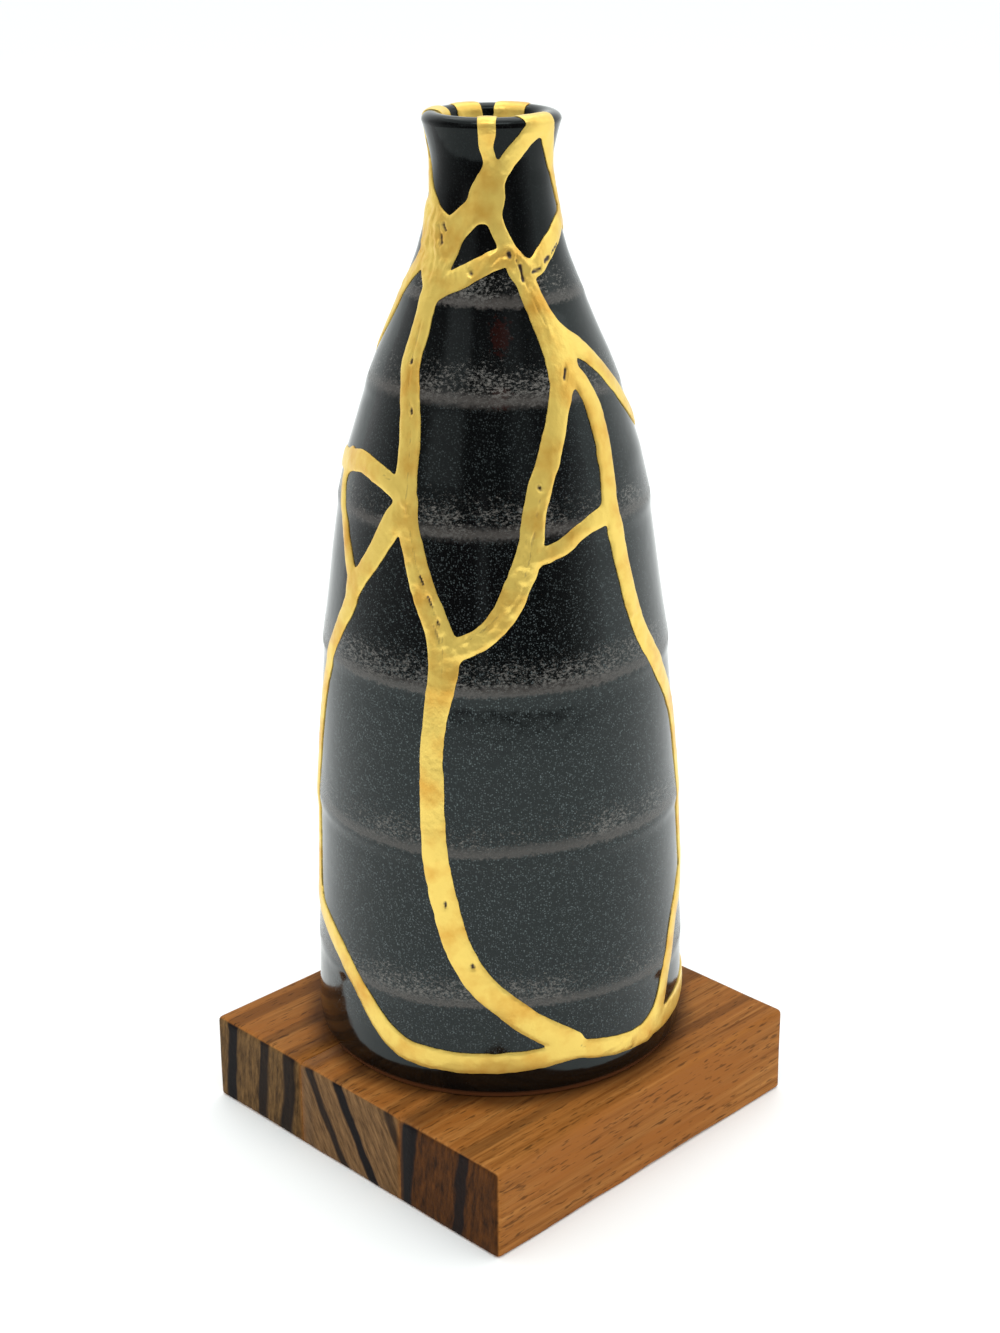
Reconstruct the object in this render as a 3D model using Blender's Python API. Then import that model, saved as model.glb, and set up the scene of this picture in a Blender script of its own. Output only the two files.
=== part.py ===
"""A kintsugi bud vase on its small wooden base.

A thrown stoneware bottle has broken into shards and been put back together.
The shards are separate solids, and one connected net of gold lacquer fills the
cracks between them, lies over them on the outside and folds over the lip.
The bottle stands on a square base glued up from three strips of wood.
Heights on the bottle are measured from the top of the base.
"""
import math

import bmesh
import bpy
import numpy as np
from mathutils import Vector
from mathutils.geometry import delaunay_2d_cdt

# Wooden base: the grain runs along X, the strips lie side by side along Y
BASE_LENGTH = 0.092
SIDE_STRIP_WIDTH = 0.029
MIDDLE_STRIP_WIDTH = 0.0314
BASE_THICKNESS = 0.0204
EDGE_ROUNDING = 0.0008
GLUE_LINE = 0.0003

# Bottle: outer form
VASE_HEIGHT = 0.2000
LIP_RADIUS = 0.0144
NECK_RADIUS = 0.0121
NECK_HEIGHT = 0.1890
SHOULDER_RADIUS = 0.0316
SHOULDER_HEIGHT = 0.1280
BELLY_RADIUS = 0.0410
BELLY_HEIGHT = 0.0060
FOOT_RADIUS = 0.0398

# Bottle: inside and underside
WALL = 0.0042
LIP_ROUNDING = 0.0016
FLOOR_THICKNESS = 0.0042
FLOOR_CORNER = 0.0060
FOOT_RING_WIDTH = 0.0050
FOOT_RECESS = 0.0012

# Place of the bottle on the base: it faces the corner between -X and -Y
VASE_X = 0.0028
VASE_Y = 0.0034
FACING_DEGREES = -135.0
REST_GAP = 0.0003

# Gold lacquer in and over the cracks
CRACK_WIDTH = 0.0010
SHARD_GAP = 0.0003
LACQUER_GAP = 0.0003
EDGE_THICKNESS = 0.0003
CROWN_THICKNESS = 0.0008
HAIR_BAND = 0.0028
FINE_BAND = 0.0036
MIDDLE_BAND = 0.0046
BROAD_BAND = 0.0056
PATCH_BAND = 0.0072

# Shares of the way from belly to shoulder, and from shoulder to neck:
# height gained, radius lost. They give the thrown curve between the levels.
TAPER = ((0.2, 0.06), (0.4, 0.165), (0.6, 0.32), (0.7, 0.44), (0.8, 0.61), (0.9, 0.79))
NECKING = ((0.15, 0.135), (0.31, 0.30), (0.47, 0.52), (0.64, 0.735), (0.72, 0.84), (0.8, 0.90), (0.9, 0.965))

# Places where cracks meet: degrees round from the front, percent of the height.
# The names say where they lie, and cracks that end at the lip go on over it.
MEETINGS = {
    "lip_front": (-4, 100),
    "lip_right": (45, 100),
    "lip_back_right": (157, 100),
    "lip_back_left": (208, 100),
    "lip_left": (253, 100),
    "lip_fork": (44, 98.6),
    "neck_fork": (-1, 95.2),
    "neck_split": (-5, 91.8),
    "neck_right": (91, 89.8),
    "patch": (-60, 88.3),
    "patch_top": (-46, 87.4),
    "patch_foot": (-41, 83.8),
    "shoulder": (20.5, 85.6),
    "high_right": (36, 78.8),
    "mid_right": (36, 75.8),
    "low_right": (46, 62),
    "inner_right": (12, 58.8),
    "high_left": (-34, 64.5),
    "side_left": (-76, 65.3),
    "low_left": (-56, 53.8),
    "front": (-16, 49.3),
    "front_foot": (21, 6.0),
    "right_edge": (82, 31),
    "right_foot": (51, 3.9),
    "left_foot": (-79, 15.8),
    "back_neck": (150, 86),
    "back_nape": (202, 84),
    "back_right": (138, 68),
    "back_left": (240, 74.5),
    "back_flank": (232, 64),
    "back_middle": (205, 56),
    "back_low": (187, 34),
    "back_foot": (182, 12),
}

# Cracks: where from, places on the way, where to, width of the gold over it
CRACKS = (
    # Neck
    ("lip_front", ((-4, 98.6), (-4.5, 97.1)), "neck_fork", HAIR_BAND),
    ("lip_right", (), "lip_fork", BROAD_BAND),
    ("lip_fork", ((33, 98.0), (22, 96.9), (12, 95.9)), "neck_fork", FINE_BAND),
    ("lip_fork", ((56, 97.8), (66, 96.2), (77, 93.8), (86, 91.4)), "neck_right", HAIR_BAND),
    ("neck_fork", (), "neck_split", BROAD_BAND),
    ("neck_split", ((-22, 90.5), (-34, 88.9)), "patch_top", MIDDLE_BAND),
    ("patch", ((-71, 91.8), (-84, 94), (-98, 96.8)), "lip_left", FINE_BAND),
    ("patch", (), "patch_top", PATCH_BAND),
    ("patch_top", (), "patch_foot", BROAD_BAND),
    # Shoulder
    ("patch_foot", ((-27, 84.5), (-13, 85.6), (2, 86.5), (13, 86.7)), "shoulder", MIDDLE_BAND),
    ("neck_split", ((4, 89.7), (10, 88), (16, 86.6)), "shoulder", FINE_BAND),
    ("shoulder", ((32, 85.8), (45, 87), (62, 88.5), (77, 89.5)), "neck_right", FINE_BAND),
    ("shoulder", ((23.5, 84), (27, 82.2), (31.5, 80.4)), "high_right", BROAD_BAND),
    # Right
    ("high_right", (), "mid_right", BROAD_BAND),
    ("high_right", ((48, 78), (60, 75.9), (71, 73.2), (86, 69.8), (100, 68.2), (115, 67.5)),
     "back_right", FINE_BAND),
    ("mid_right", ((47, 73.5), (49, 70), (48, 66)), "low_right", MIDDLE_BAND),
    ("mid_right", ((31, 74), (27, 71.5), (21, 67.5), (16, 64)), "inner_right", BROAD_BAND),
    ("inner_right", ((8, 56.3), (3, 53.4), (-5, 50.6)), "front", BROAD_BAND),
    ("low_right", ((33, 61), (23, 59.4)), "inner_right", FINE_BAND),
    ("low_right", ((49, 59), (51, 54), (56, 48.5), (65, 44), (77, 39)), "right_edge", MIDDLE_BAND),
    ("right_edge", ((82, 24), (78, 17), (68, 9.5), (59, 5.4)), "right_foot", MIDDLE_BAND),
    # Left
    ("patch_foot", ((-44, 81), (-44, 78.5), (-42, 75.6), (-37, 71.5), (-35, 67.5)), "high_left", BROAD_BAND),
    ("high_left", ((-47, 65.7), (-61, 66.2)), "side_left", BROAD_BAND),
    ("side_left", ((-72, 61), (-64, 57.5)), "low_left", FINE_BAND),
    ("high_left", ((-37, 62.3), (-43, 59), (-49, 56.4)), "low_left", MIDDLE_BAND),
    ("low_left", ((-57, 52), (-66, 47), (-74, 41), (-80, 35), (-84, 27), (-83, 20)),
     "left_foot", MIDDLE_BAND),
    # Front and foot
    ("high_left", ((-31, 61.5), (-28, 58), (-24, 55), (-20, 52)), "front", BROAD_BAND),
    ("front", ((-19, 45), (-20, 40), (-20, 34), (-19, 29), (-17, 24), (-12, 17), (-3, 12.5), (8, 9)),
     "front_foot", BROAD_BAND),
    ("front_foot", ((8, 4.7), (-6, 4.1), (-20, 4.1), (-31, 5.2), (-41, 8), (-52, 11.3), (-66, 14.3)),
     "left_foot", MIDDLE_BAND),
    ("front_foot", ((31, 4.6), (42, 3.9)), "right_foot", MIDDLE_BAND),
    # Back, which the photo doesn't show
    ("patch", ((-68, 85.5), (-78, 83.5), (-88, 80), (-102, 76)), "back_left", FINE_BAND),
    ("lip_back_right", ((154, 95), (150, 90.5)), "back_neck", MIDDLE_BAND),
    ("lip_back_left", ((205, 95), (202, 90)), "back_nape", MIDDLE_BAND),
    ("neck_right", ((108, 88.5), (130, 87.3)), "back_neck", MIDDLE_BAND),
    ("back_neck", ((168, 83.4), (186, 83)), "back_nape", MIDDLE_BAND),
    ("back_nape", ((212, 80), (226, 77.4)), "back_left", MIDDLE_BAND),
    ("back_neck", ((145, 80), (139, 74)), "back_right", MIDDLE_BAND),
    ("back_left", ((237, 69),), "back_flank", MIDDLE_BAND),
    ("side_left", ((266, 64.6), (249, 63)), "back_flank", MIDDLE_BAND),
    ("back_right", ((160, 64), (183, 60.5)), "back_middle", MIDDLE_BAND),
    ("back_flank", ((222, 59.6),), "back_middle", MIDDLE_BAND),
    ("back_middle", ((201, 48), (193, 41)), "back_low", MIDDLE_BAND),
    ("back_low", ((183, 26), (184, 18)), "back_foot", MIDDLE_BAND),
    ("right_edge", ((108, 33.5), (135, 31), (162, 32)), "back_low", FINE_BAND),
    ("left_foot", ((258, 14.5), (232, 10.5), (207, 9.5)), "back_foot", MIDDLE_BAND),
    ("back_foot", ((155, 8.5), (125, 5.4), (95, 4.6), (72, 4.2)), "right_foot", MIDDLE_BAND),
)

# Shards: name and a place well inside it, in degrees and percent of the height
SHARDS = (
    ("shard_neck_left", -50, 95),
    ("shard_neck_chip", 15, 98),
    ("shard_neck_right", 45, 92),
    ("shard_neck_triangle", -22, 88.5),
    ("shard_nape_right", 110, 93),
    ("shard_nape", 182, 91),
    ("shard_nape_left", 238, 89),
    ("shard_shoulder_left", -68, 75),
    ("shard_shoulder_front", -8, 72),
    ("shard_shoulder_right", 90, 79),
    ("shard_shoulder_back", 190, 72),
    ("shard_right_triangle", 35, 66),
    ("shard_left_triangle", -54, 61),
    ("shard_right_side", 110, 50),
    ("shard_back_left", 245, 45),
    ("shard_left_front", -50, 34),
    ("shard_right_front", 30, 34),
    ("shard_back_right", 130, 20),
    ("shard_base", 0, 1.5),
)

# Fineness of the facets
CRACK_STEP_DEGREES = 19.0
LEAST_STEP = 0.0038
GRID_ROW = 0.0135
GRID_DEGREES = 15.0
GRID_MARGIN = 0.0030
LIP_SIDES = 20
FOOT_SIDES = 40
LIP_ANGLES = (45.0, 90.0, 135.0)
CORNER_TOLERANCE = 0.00004
CURVE_STEPS = 12
SLOPE_REACH = 0.0005
END_OVERLAP = 0.5
MITRE_LIMIT = 0.6
GRID_CHECKS = 5
GRID_OFFSET = 0.25
SHARP_DEGREES = 35.0
TINY = 1e-12

# Flat map of the wall, in millimetres: the angle runs along X, the height along Y.
# It is cut open at the back, and reaches a little past both ends and the lip.
MM = 1000.0
MAP_SCALE = 30.0
MAP_CUT_DEGREES = -135.0
MAP_SPARE_DEGREES = 25.0
MAP_SPARE_HEIGHT = 0.004
MAP_MERGE = 0.03
MAP_EXACT = 0.00001
MAP_TRIANGLES = 0

RIM_HEIGHT = VASE_HEIGHT - LIP_ROUNDING
FLOOR_HEIGHT = FOOT_RECESS + FLOOR_THICKNESS
HALF_CRACK = CRACK_WIDTH / 2
HALF_OPENING = HALF_CRACK + SHARD_GAP


def clear_scene():
    for item in list(bpy.data.objects):
        bpy.data.objects.remove(item, do_unlink=True)


def make_material(name, color, roughness, metallic):
    material = bpy.data.materials.new(name)
    material.use_nodes = True
    shader = material.node_tree.nodes["Principled BSDF"]
    shader.inputs["Base Color"].default_value = (*color, 1.0)
    shader.inputs["Roughness"].default_value = roughness
    shader.inputs["Metallic"].default_value = metallic
    material.diffuse_color = (*color, 1.0)
    return material


# Outer form of the bottle
def profile_levels():
    levels = [(0.0, FOOT_RADIUS), (BELLY_HEIGHT, BELLY_RADIUS)]
    for gained, lost in TAPER:
        levels.append((BELLY_HEIGHT + gained * (SHOULDER_HEIGHT - BELLY_HEIGHT),
                       BELLY_RADIUS + lost * (SHOULDER_RADIUS - BELLY_RADIUS)))
    levels.append((SHOULDER_HEIGHT, SHOULDER_RADIUS))
    for gained, lost in NECKING:
        levels.append((SHOULDER_HEIGHT + gained * (NECK_HEIGHT - SHOULDER_HEIGHT),
                       SHOULDER_RADIUS + lost * (NECK_RADIUS - SHOULDER_RADIUS)))
    levels.append((NECK_HEIGHT, NECK_RADIUS))
    levels.append((VASE_HEIGHT, LIP_RADIUS))
    return np.array(levels)


def level_slopes(levels):
    """Slopes that give a curve with no swelling between the levels."""
    steps = np.diff(levels[:, 1]) / np.diff(levels[:, 0])
    same_way = steps[1:] * steps[:-1] > 0
    inner = np.where(same_way, 2 * steps[1:] * steps[:-1] / (steps[1:] + steps[:-1] + TINY), 0.0)
    return np.concatenate([steps[:1], inner, steps[-1:]])


PROFILE = profile_levels()
PROFILE_SLOPES = level_slopes(PROFILE)


def outer_radius(height):
    """Radius on a smooth curve through the profile's levels."""
    heights = PROFILE[:, 0]
    place = int(np.clip(np.searchsorted(heights, height) - 1, 0, len(heights) - 2))
    span = heights[place + 1] - heights[place]
    t = min(max((height - heights[place]) / span, 0.0), 1.0)
    start, end = PROFILE[place, 1], PROFILE[place + 1, 1]
    leaving, arriving = PROFILE_SLOPES[place] * span, PROFILE_SLOPES[place + 1] * span
    bend = (1 - t) * leaving * t * (1 - t) - t * arriving * t * (1 - t)
    return start + (end - start) * t * t * (3 - 2 * t) + bend


def slope_stretch(height):
    """Length along the wall for one unit of height."""
    low, high = max(height - SLOPE_REACH, 0.0), min(height + SLOPE_REACH, VASE_HEIGHT)
    return math.hypot(1.0, (outer_radius(high) - outer_radius(low)) / (high - low))


def wall_place(angle, height, depth, below_wall=0.0):
    """A point in the wall: depth 0 is the glaze, 1 the inside, below_wall goes on past either."""
    stretch = slope_stretch(height)
    radius = outer_radius(height) - (WALL * depth + below_wall) * stretch
    level = height
    if depth == 1 and height < FLOOR_HEIGHT:
        radius -= FLOOR_CORNER * (FLOOR_HEIGHT - height) / FLOOR_HEIGHT
        level = FLOOR_HEIGHT
    return Vector((radius * math.cos(angle), radius * math.sin(angle), level))


def lip_place(angle, turn_degrees, proud):
    """A point round the lip: turn 0 is outside, 90 on top, 180 inside, proud of the glaze."""
    stretch = slope_stretch(RIM_HEIGHT)
    half_wall = WALL * stretch / 2
    middle = outer_radius(RIM_HEIGHT) - half_wall
    turn = math.radians(turn_degrees)
    radius = middle + (half_wall + proud * stretch) * math.cos(turn)
    height = RIM_HEIGHT + (LIP_ROUNDING + proud) * math.sin(turn)
    return Vector((radius * math.cos(angle), radius * math.sin(angle), height))


# The flat map
MAP_START = math.radians(MAP_CUT_DEGREES) * MAP_SCALE
MAP_LENGTH = 2 * math.pi * MAP_SCALE


def to_map(angle, height):
    return (angle * MAP_SCALE, height * MM)


def from_map(point):
    return point[0] / MAP_SCALE, point[1] / MM


def map_line(height, sides):
    """Points right round the bottle at one height, with the cut at both ends."""
    return [(MAP_START + MAP_LENGTH * step / sides, height * MM) for step in range(sides + 1)]


# Routes of the cracks
def smooth_route(points):
    """Even steps along a smooth curve through (angle, height) points."""
    ends = [2 * points[0] - points[1], *points, 2 * points[-1] - points[-2]]
    fine = []
    for before, start, end, after in zip(ends, ends[1:], ends[2:], ends[3:]):
        for t in np.linspace(0, 1, CURVE_STEPS, endpoint=False):
            bent = (2 * before - 5 * start + 4 * end - after) * t ** 2
            twisted = (3 * start - before - 3 * end + after) * t ** 3
            fine.append((2 * start + (end - before) * t + bent + twisted) / 2)
    fine.append(points[-1])
    fine = np.array(fine)
    middles = (fine[1:] + fine[:-1]) / 2
    radii = np.array([outer_radius(height) for height in middles[:, 1]])
    stretches = np.array([slope_stretch(height) for height in middles[:, 1]])
    moves = np.diff(fine, axis=0) * np.stack([radii, stretches], 1)
    lengths = np.hypot(moves[:, 0], moves[:, 1])
    steps = lengths / np.maximum(radii * math.radians(CRACK_STEP_DEGREES), LEAST_STEP)
    along = np.concatenate([[0.0], np.cumsum(steps)])
    count = max(1, round(along[-1]))
    wanted = np.linspace(0, along[-1], count + 1)
    return np.stack([np.interp(wanted, along, fine[:, 0]), np.interp(wanted, along, fine[:, 1])], 1)


def crack_routes():
    routes = []
    for start, way, end, band in CRACKS:
        places = [MEETINGS[start], *way, MEETINGS[end]]
        points = []
        for degrees, percent in places:
            points.append(np.array([math.radians(degrees), percent / 100 * VASE_HEIGHT]))
        for earlier, later in zip(points, points[1:]):
            later[0] -= 2 * math.pi * round((later[0] - earlier[0]) / (2 * math.pi))
        routes.append((smooth_route(points), band, start.startswith("lip_") and start != "lip_fork"))
    return routes


def ribbon(route, half_width, over_lip):
    """Left and right edges of a strip along a route, on the flat map."""
    scale = np.array([[outer_radius(height), slope_stretch(height)] for height in route[:, 1]])
    moves = np.diff(route, axis=0) * (scale[1:] + scale[:-1]) / 2
    moves /= np.linalg.norm(moves, axis=1)[:, None]
    headings = np.vstack([moves[:1], moves[1:] + moves[:-1], moves[-1:]])
    headings /= np.linalg.norm(headings, axis=1)[:, None]
    widening = np.ones(len(route))
    widening[1:-1] = 1 / np.clip(np.sum(headings[1:-1] * moves[1:], axis=1), MITRE_LIMIT, 1.0)
    centers = route.copy()
    centers[0] -= headings[0] * half_width * END_OVERLAP / scale[0]
    centers[-1] += headings[-1] * half_width * END_OVERLAP / scale[-1]
    if over_lip:
        centers[0, 1] = VASE_HEIGHT + MAP_SPARE_HEIGHT
    across = np.stack([-headings[:, 1], headings[:, 0]], 1) * (half_width * widening)[:, None] / scale
    left = [to_map(*point) for point in centers + across]
    right = [to_map(*point) for point in centers - across]
    return left, right


def strips_outline(routes, half_width_of):
    """Points and edges round the union of all strips, cleaned of tiny corners."""
    points, faces = [], []
    spare = math.radians(MAP_SPARE_DEGREES) * MAP_SCALE
    for route, band, over_lip in routes:
        left, right = ribbon(route, half_width_of(band), over_lip)
        for turn in (-MAP_LENGTH, 0.0, MAP_LENGTH):
            sides = [(x + turn, y) for pair in zip(left, right) for x, y in pair]
            for step in range(0, len(sides) - 2, 2):
                quad = [sides[step], sides[step + 1], sides[step + 3], sides[step + 2]]
                reach = [x for x, _ in quad]
                if max(reach) > MAP_START - spare and min(reach) < MAP_START + MAP_LENGTH + spare:
                    faces.append(list(range(len(points), len(points) + 4)))
                    points.extend(quad)
    flat = [Vector(point) for point in points]
    found, _, triangles, _, _, origins = delaunay_2d_cdt(flat, [], faces, MAP_TRIANGLES, MAP_MERGE)
    uses = {}
    for triangle, origin in zip(triangles, origins):
        if origin:
            for a, b in zip(triangle, triangle[1:] + triangle[:1]):
                uses.setdefault(frozenset((a, b)), []).append((a, b))
    following = {}
    for pair in uses.values():
        if len(pair) == 1:
            following.setdefault(pair[0][0], []).append(pair[0][1])
    loops = []
    while following:
        start = next(iter(following))
        loop = [start]
        while True:
            nexts = following[loop[-1]]
            step = nexts.pop()
            if not nexts:
                del following[loop[-1]]
            if step == start:
                break
            loop.append(step)
        loops.append(clean_loop([found[index] for index in loop]))
    return [loop for loop in loops if len(loop) > 2]


def clean_loop(loop):
    """Drop points that, on the bottle, hardly leave the line between their neighbours."""
    limit = CORNER_TOLERANCE
    loop = [(point, wall_place(*from_map(point), 0)) for point in loop]
    changed = True
    while changed and len(loop) > 3:
        changed = False
        for index in range(len(loop)):
            before, here, after = loop[index - 1][1], loop[index][1], loop[(index + 1) % len(loop)][1]
            side = after - before
            reach = side.cross(here - before).length / max(side.length, limit)
            if reach < limit or (here - before).length < limit:
                del loop[index]
                changed = True
                break
    return [point for point, _ in loop]


def enclosed(points, edges):
    """True where a line from the point to the right crosses the edges an odd number of times."""
    count = np.zeros(len(points), dtype=int)
    for (x0, y0), (x1, y1) in edges:
        crossing = (y0 > points[:, 1]) != (y1 > points[:, 1])
        if crossing.any():
            cut = x0 + (points[:, 1] - y0) * (x1 - x0) / (y1 - y0)
            count += crossing & (points[:, 0] < cut)
    return count % 2 == 1


def inside_loops(points, loops):
    return enclosed(points, [pair for loop in loops for pair in zip(loop, [*loop[1:], loop[0]])])


def grid_points(routes):
    """Points spread over the wall between the cracks, so that it stays round."""
    cracks = []
    for route, band, _ in routes:
        for start, end in zip(route, route[1:]):
            for t in np.linspace(0, 1, GRID_CHECKS):
                angle, height = start + (end - start) * t
                cracks.append((angle, height, band / 2 + GRID_MARGIN))
    cracks = np.array(cracks)
    rows = round((RIM_HEIGHT - BELLY_HEIGHT) / GRID_ROW)
    heights = np.linspace(BELLY_HEIGHT, RIM_HEIGHT - GRID_MARGIN, rows)
    points = []
    for row, height in enumerate(heights):
        radius = outer_radius(height)
        degrees = GRID_DEGREES if height < SHOULDER_HEIGHT else 2 * GRID_DEGREES
        columns = round(360 / degrees)
        for column in range(columns):
            turn = (column + GRID_OFFSET + row % 2 / 2) / columns
            angle = math.radians(MAP_CUT_DEGREES) + 2 * math.pi * turn
            turns = np.abs((cracks[:, 0] - angle + math.pi) % (2 * math.pi) - math.pi)
            away = np.hypot(turns * radius, (cracks[:, 1] - height) * slope_stretch(height))
            if (away > cracks[:, 2]).all():
                points.append(to_map(angle, height))
    return points


class WallMap:
    """One set of triangles over the whole wall, marked by what covers them."""

    def __init__(self):
        routes = crack_routes()
        gold = strips_outline(routes, lambda band: band / 2)
        opening = strips_outline(routes, lambda band: HALF_OPENING)
        crack = strips_outline(routes, lambda band: HALF_CRACK)
        points, edges = [], []
        for loop in (*gold, *opening, *crack):
            first = len(points)
            points.extend(loop)
            edges.extend((first + step, first + (step + 1) % len(loop)) for step in range(len(loop)))
        rim, foot = map_line(RIM_HEIGHT, LIP_SIDES), map_line(0.0, FOOT_SIDES)
        for line in (rim, foot, (foot[0], rim[0]), (foot[-1], rim[-1])):
            first = len(points)
            points.extend(Vector(point) for point in line)
            edges.extend((first + step, first + step + 1) for step in range(len(line) - 1))
        points.extend(Vector(point) for point in grid_points(routes))
        found, _, triangles, _, _, _ = delaunay_2d_cdt(points, edges, [], MAP_TRIANGLES, MAP_MERGE)
        self.places = [from_map(point) for point in found]
        self.flat = np.array([(point.x, point.y) for point in found])
        middles = np.array([self.flat[list(triangle)].mean(axis=0) for triangle in triangles])
        on_wall = (middles[:, 0] > MAP_START) & (middles[:, 0] < MAP_START + MAP_LENGTH)
        on_wall &= (middles[:, 1] > 0.0) & (middles[:, 1] < RIM_HEIGHT * MM)
        self.triangles = [tuple(triangle) for triangle, keep in zip(triangles, on_wall) if keep]
        self.middles = middles[on_wall]
        self.in_gold = inside_loops(self.middles, gold)
        self.in_opening = inside_loops(self.middles, opening)
        self.in_crack = inside_loops(self.middles, crack)
        self.on_rim = np.abs(self.flat[:, 1] - RIM_HEIGHT * MM) < MAP_MERGE
        self.on_foot = np.abs(self.flat[:, 1]) < MAP_MERGE
        self.names = self.close_the_cut()
        self.gold_edge = {self.names[index] for pair in self.border(self.in_gold) for index in pair}

    def close_the_cut(self):
        """Give the two ends of the map the same corner names, from the foot up."""
        used = sorted({index for triangle in self.triangles for index in triangle})
        ends = []
        for reach in (MAP_START, MAP_START + MAP_LENGTH):
            line = [index for index in used if abs(self.flat[index, 0] - reach) < MAP_MERGE]
            ends.append(sorted(line, key=lambda index: self.flat[index, 1]))
        names = list(range(len(self.flat)))
        for kept, other in zip(*ends, strict=True):
            names[other] = kept
        return names

    def border(self, chosen, across_the_cut=True):
        """Directed edges between chosen triangles and the rest."""
        edges = {}
        for triangle, keep in zip(self.triangles, chosen):
            if keep:
                for a, b in zip(triangle, triangle[1:] + triangle[:1]):
                    key = (self.names[a], self.names[b]) if across_the_cut else (a, b)
                    if key[::-1] in edges:
                        del edges[key[::-1]]
                    else:
                        edges[key] = (a, b)
        return list(edges.values())

    def refill(self, chosen, lines, points):
        """Fewer triangles over the chosen ones, between corners that are there already."""
        outline = self.border(chosen, across_the_cut=False)
        edges = {frozenset(pair) for pair in (*outline, *lines)}
        used = sorted({index for edge in edges for index in edge} | set(points))
        number = {index: place for place, index in enumerate(used)}
        flat = [Vector(self.flat[index]) for index in used]
        pairs = [tuple(number[index] for index in edge) for edge in edges]
        _, _, triangles, origins, _, _ = delaunay_2d_cdt(flat, pairs, [], MAP_TRIANGLES, MAP_EXACT)
        corners = [tuple(used[origins[corner][0]] for corner in triangle) for triangle in triangles]
        middles = np.array([self.flat[list(triangle)].mean(axis=0) for triangle in corners])
        keep = enclosed(middles, [(self.flat[a], self.flat[b]) for a, b in outline])
        return [triangle for triangle, inside in zip(corners, keep) if inside]


class Body:
    """Collects corners by name and builds one closed mesh from faces."""

    def __init__(self):
        self.numbers = {}
        self.corners = []
        self.faces = []

    def corner(self, key, place):
        if key not in self.numbers:
            self.numbers[key] = len(self.corners)
            self.corners.append(place)
        return self.numbers[key]

    def face(self, ring):
        clean = [number for step, number in enumerate(ring) if number != ring[step - 1]]
        for step in range(1, len(clean) - 1):
            self.faces.append((clean[0], clean[step], clean[step + 1]))

    def strip(self, row, other):
        for step in range(len(row) - 1):
            self.face([row[step], row[step + 1], other[step + 1], other[step]])

    def make(self, name, material, parent):
        mesh = bmesh.new()
        verts = [mesh.verts.new(corner) for corner in self.corners]
        for face in self.faces:
            mesh.faces.new([verts[number] for number in face])
        bmesh.ops.delete(mesh, geom=[vert for vert in mesh.verts if not vert.link_faces], context="VERTS")
        bmesh.ops.recalc_face_normals(mesh, faces=mesh.faces)
        if mesh.calc_volume(signed=True) < 0:
            bmesh.ops.reverse_faces(mesh, faces=mesh.faces)
        data = bpy.data.meshes.new(name)
        mesh.to_mesh(data)
        mesh.free()
        data.shade_smooth()
        data.set_sharp_from_angle(angle=math.radians(SHARP_DEGREES))
        data.materials.append(material)
        item = bpy.data.objects.new(name, data)
        bpy.context.scene.collection.objects.link(item)
        item.parent = parent
        return item


# Shards
def shard_pieces(wall):
    """Number of the connected piece that each triangle belongs to, -1 in a crack."""
    owners = {}
    for index, triangle in enumerate(wall.triangles):
        if not wall.in_opening[index]:
            for a, b in zip(triangle, triangle[1:] + triangle[:1]):
                owners.setdefault(frozenset((wall.names[a], wall.names[b])), []).append(index)
    neighbours = {}
    for pair in owners.values():
        if len(pair) == 2:
            neighbours.setdefault(pair[0], []).append(pair[1])
            neighbours.setdefault(pair[1], []).append(pair[0])
    pieces = np.full(len(wall.triangles), -1)
    for index in range(len(wall.triangles)):
        if pieces[index] < 0 and not wall.in_opening[index]:
            waiting = [index]
            pieces[index] = index
            while waiting:
                for other in neighbours.get(waiting.pop(), []):
                    if pieces[other] < 0:
                        pieces[other] = index
                        waiting.append(other)
    return pieces


def make_shard(name, wall, chosen, material, parent):
    body = Body()

    def glaze(index):
        return body.corner(("glaze", wall.names[index]), wall_place(*wall.places[index], 0))

    def inside(index):
        return body.corner(("inside", wall.names[index]), wall_place(*wall.places[index], 1))

    def across(index):
        """Corners from the glaze to the inside, over the lip where there is one."""
        if not wall.on_rim[index]:
            return [glaze(index), inside(index)]
        angle = wall.places[index][0]
        lip = []
        for turn in LIP_ANGLES:
            lip.append(body.corner(("lip", wall.names[index], turn), lip_place(angle, turn, 0.0)))
        return [glaze(index), *lip, inside(index)]

    covered = {index for triangle, keep in zip(wall.triangles, chosen) if keep for index in triangle}
    plain = {index for index in covered if wall.names[index] not in wall.gold_edge}
    for triangle, keep in zip(wall.triangles, chosen):
        if keep:
            body.face([glaze(index) for index in triangle])
    for triangle in wall.refill(chosen, [], plain):
        body.face([inside(index) for index in reversed(triangle)])
    underside = body.corner("underside", Vector((0, 0, FOOT_RECESS)))
    floor = body.corner("floor", Vector((0, 0, FLOOR_HEIGHT)))

    def foot_row(index):
        angle = wall.places[index][0]
        ring, recess = FOOT_RADIUS - FOOT_RING_WIDTH, FOOT_RADIUS - FOOT_RING_WIDTH - FOOT_RECESS
        ring_place = Vector((ring * math.cos(angle), ring * math.sin(angle), 0.0))
        recess_place = Vector((recess * math.cos(angle), recess * math.sin(angle), FOOT_RECESS))
        return [glaze(index), body.corner(("ring", wall.names[index]), ring_place),
                body.corner(("recess", wall.names[index]), recess_place), underside]

    for a, b in wall.border(chosen):
        if wall.on_foot[a] and wall.on_foot[b]:
            body.strip(foot_row(b), foot_row(a))
            body.face([inside(a), inside(b), floor])
        elif wall.on_rim[a] and wall.on_rim[b]:
            body.strip(across(b), across(a))
        else:
            body.face([*across(a), *reversed(across(b))])
    return body.make(name, material, parent)


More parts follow.
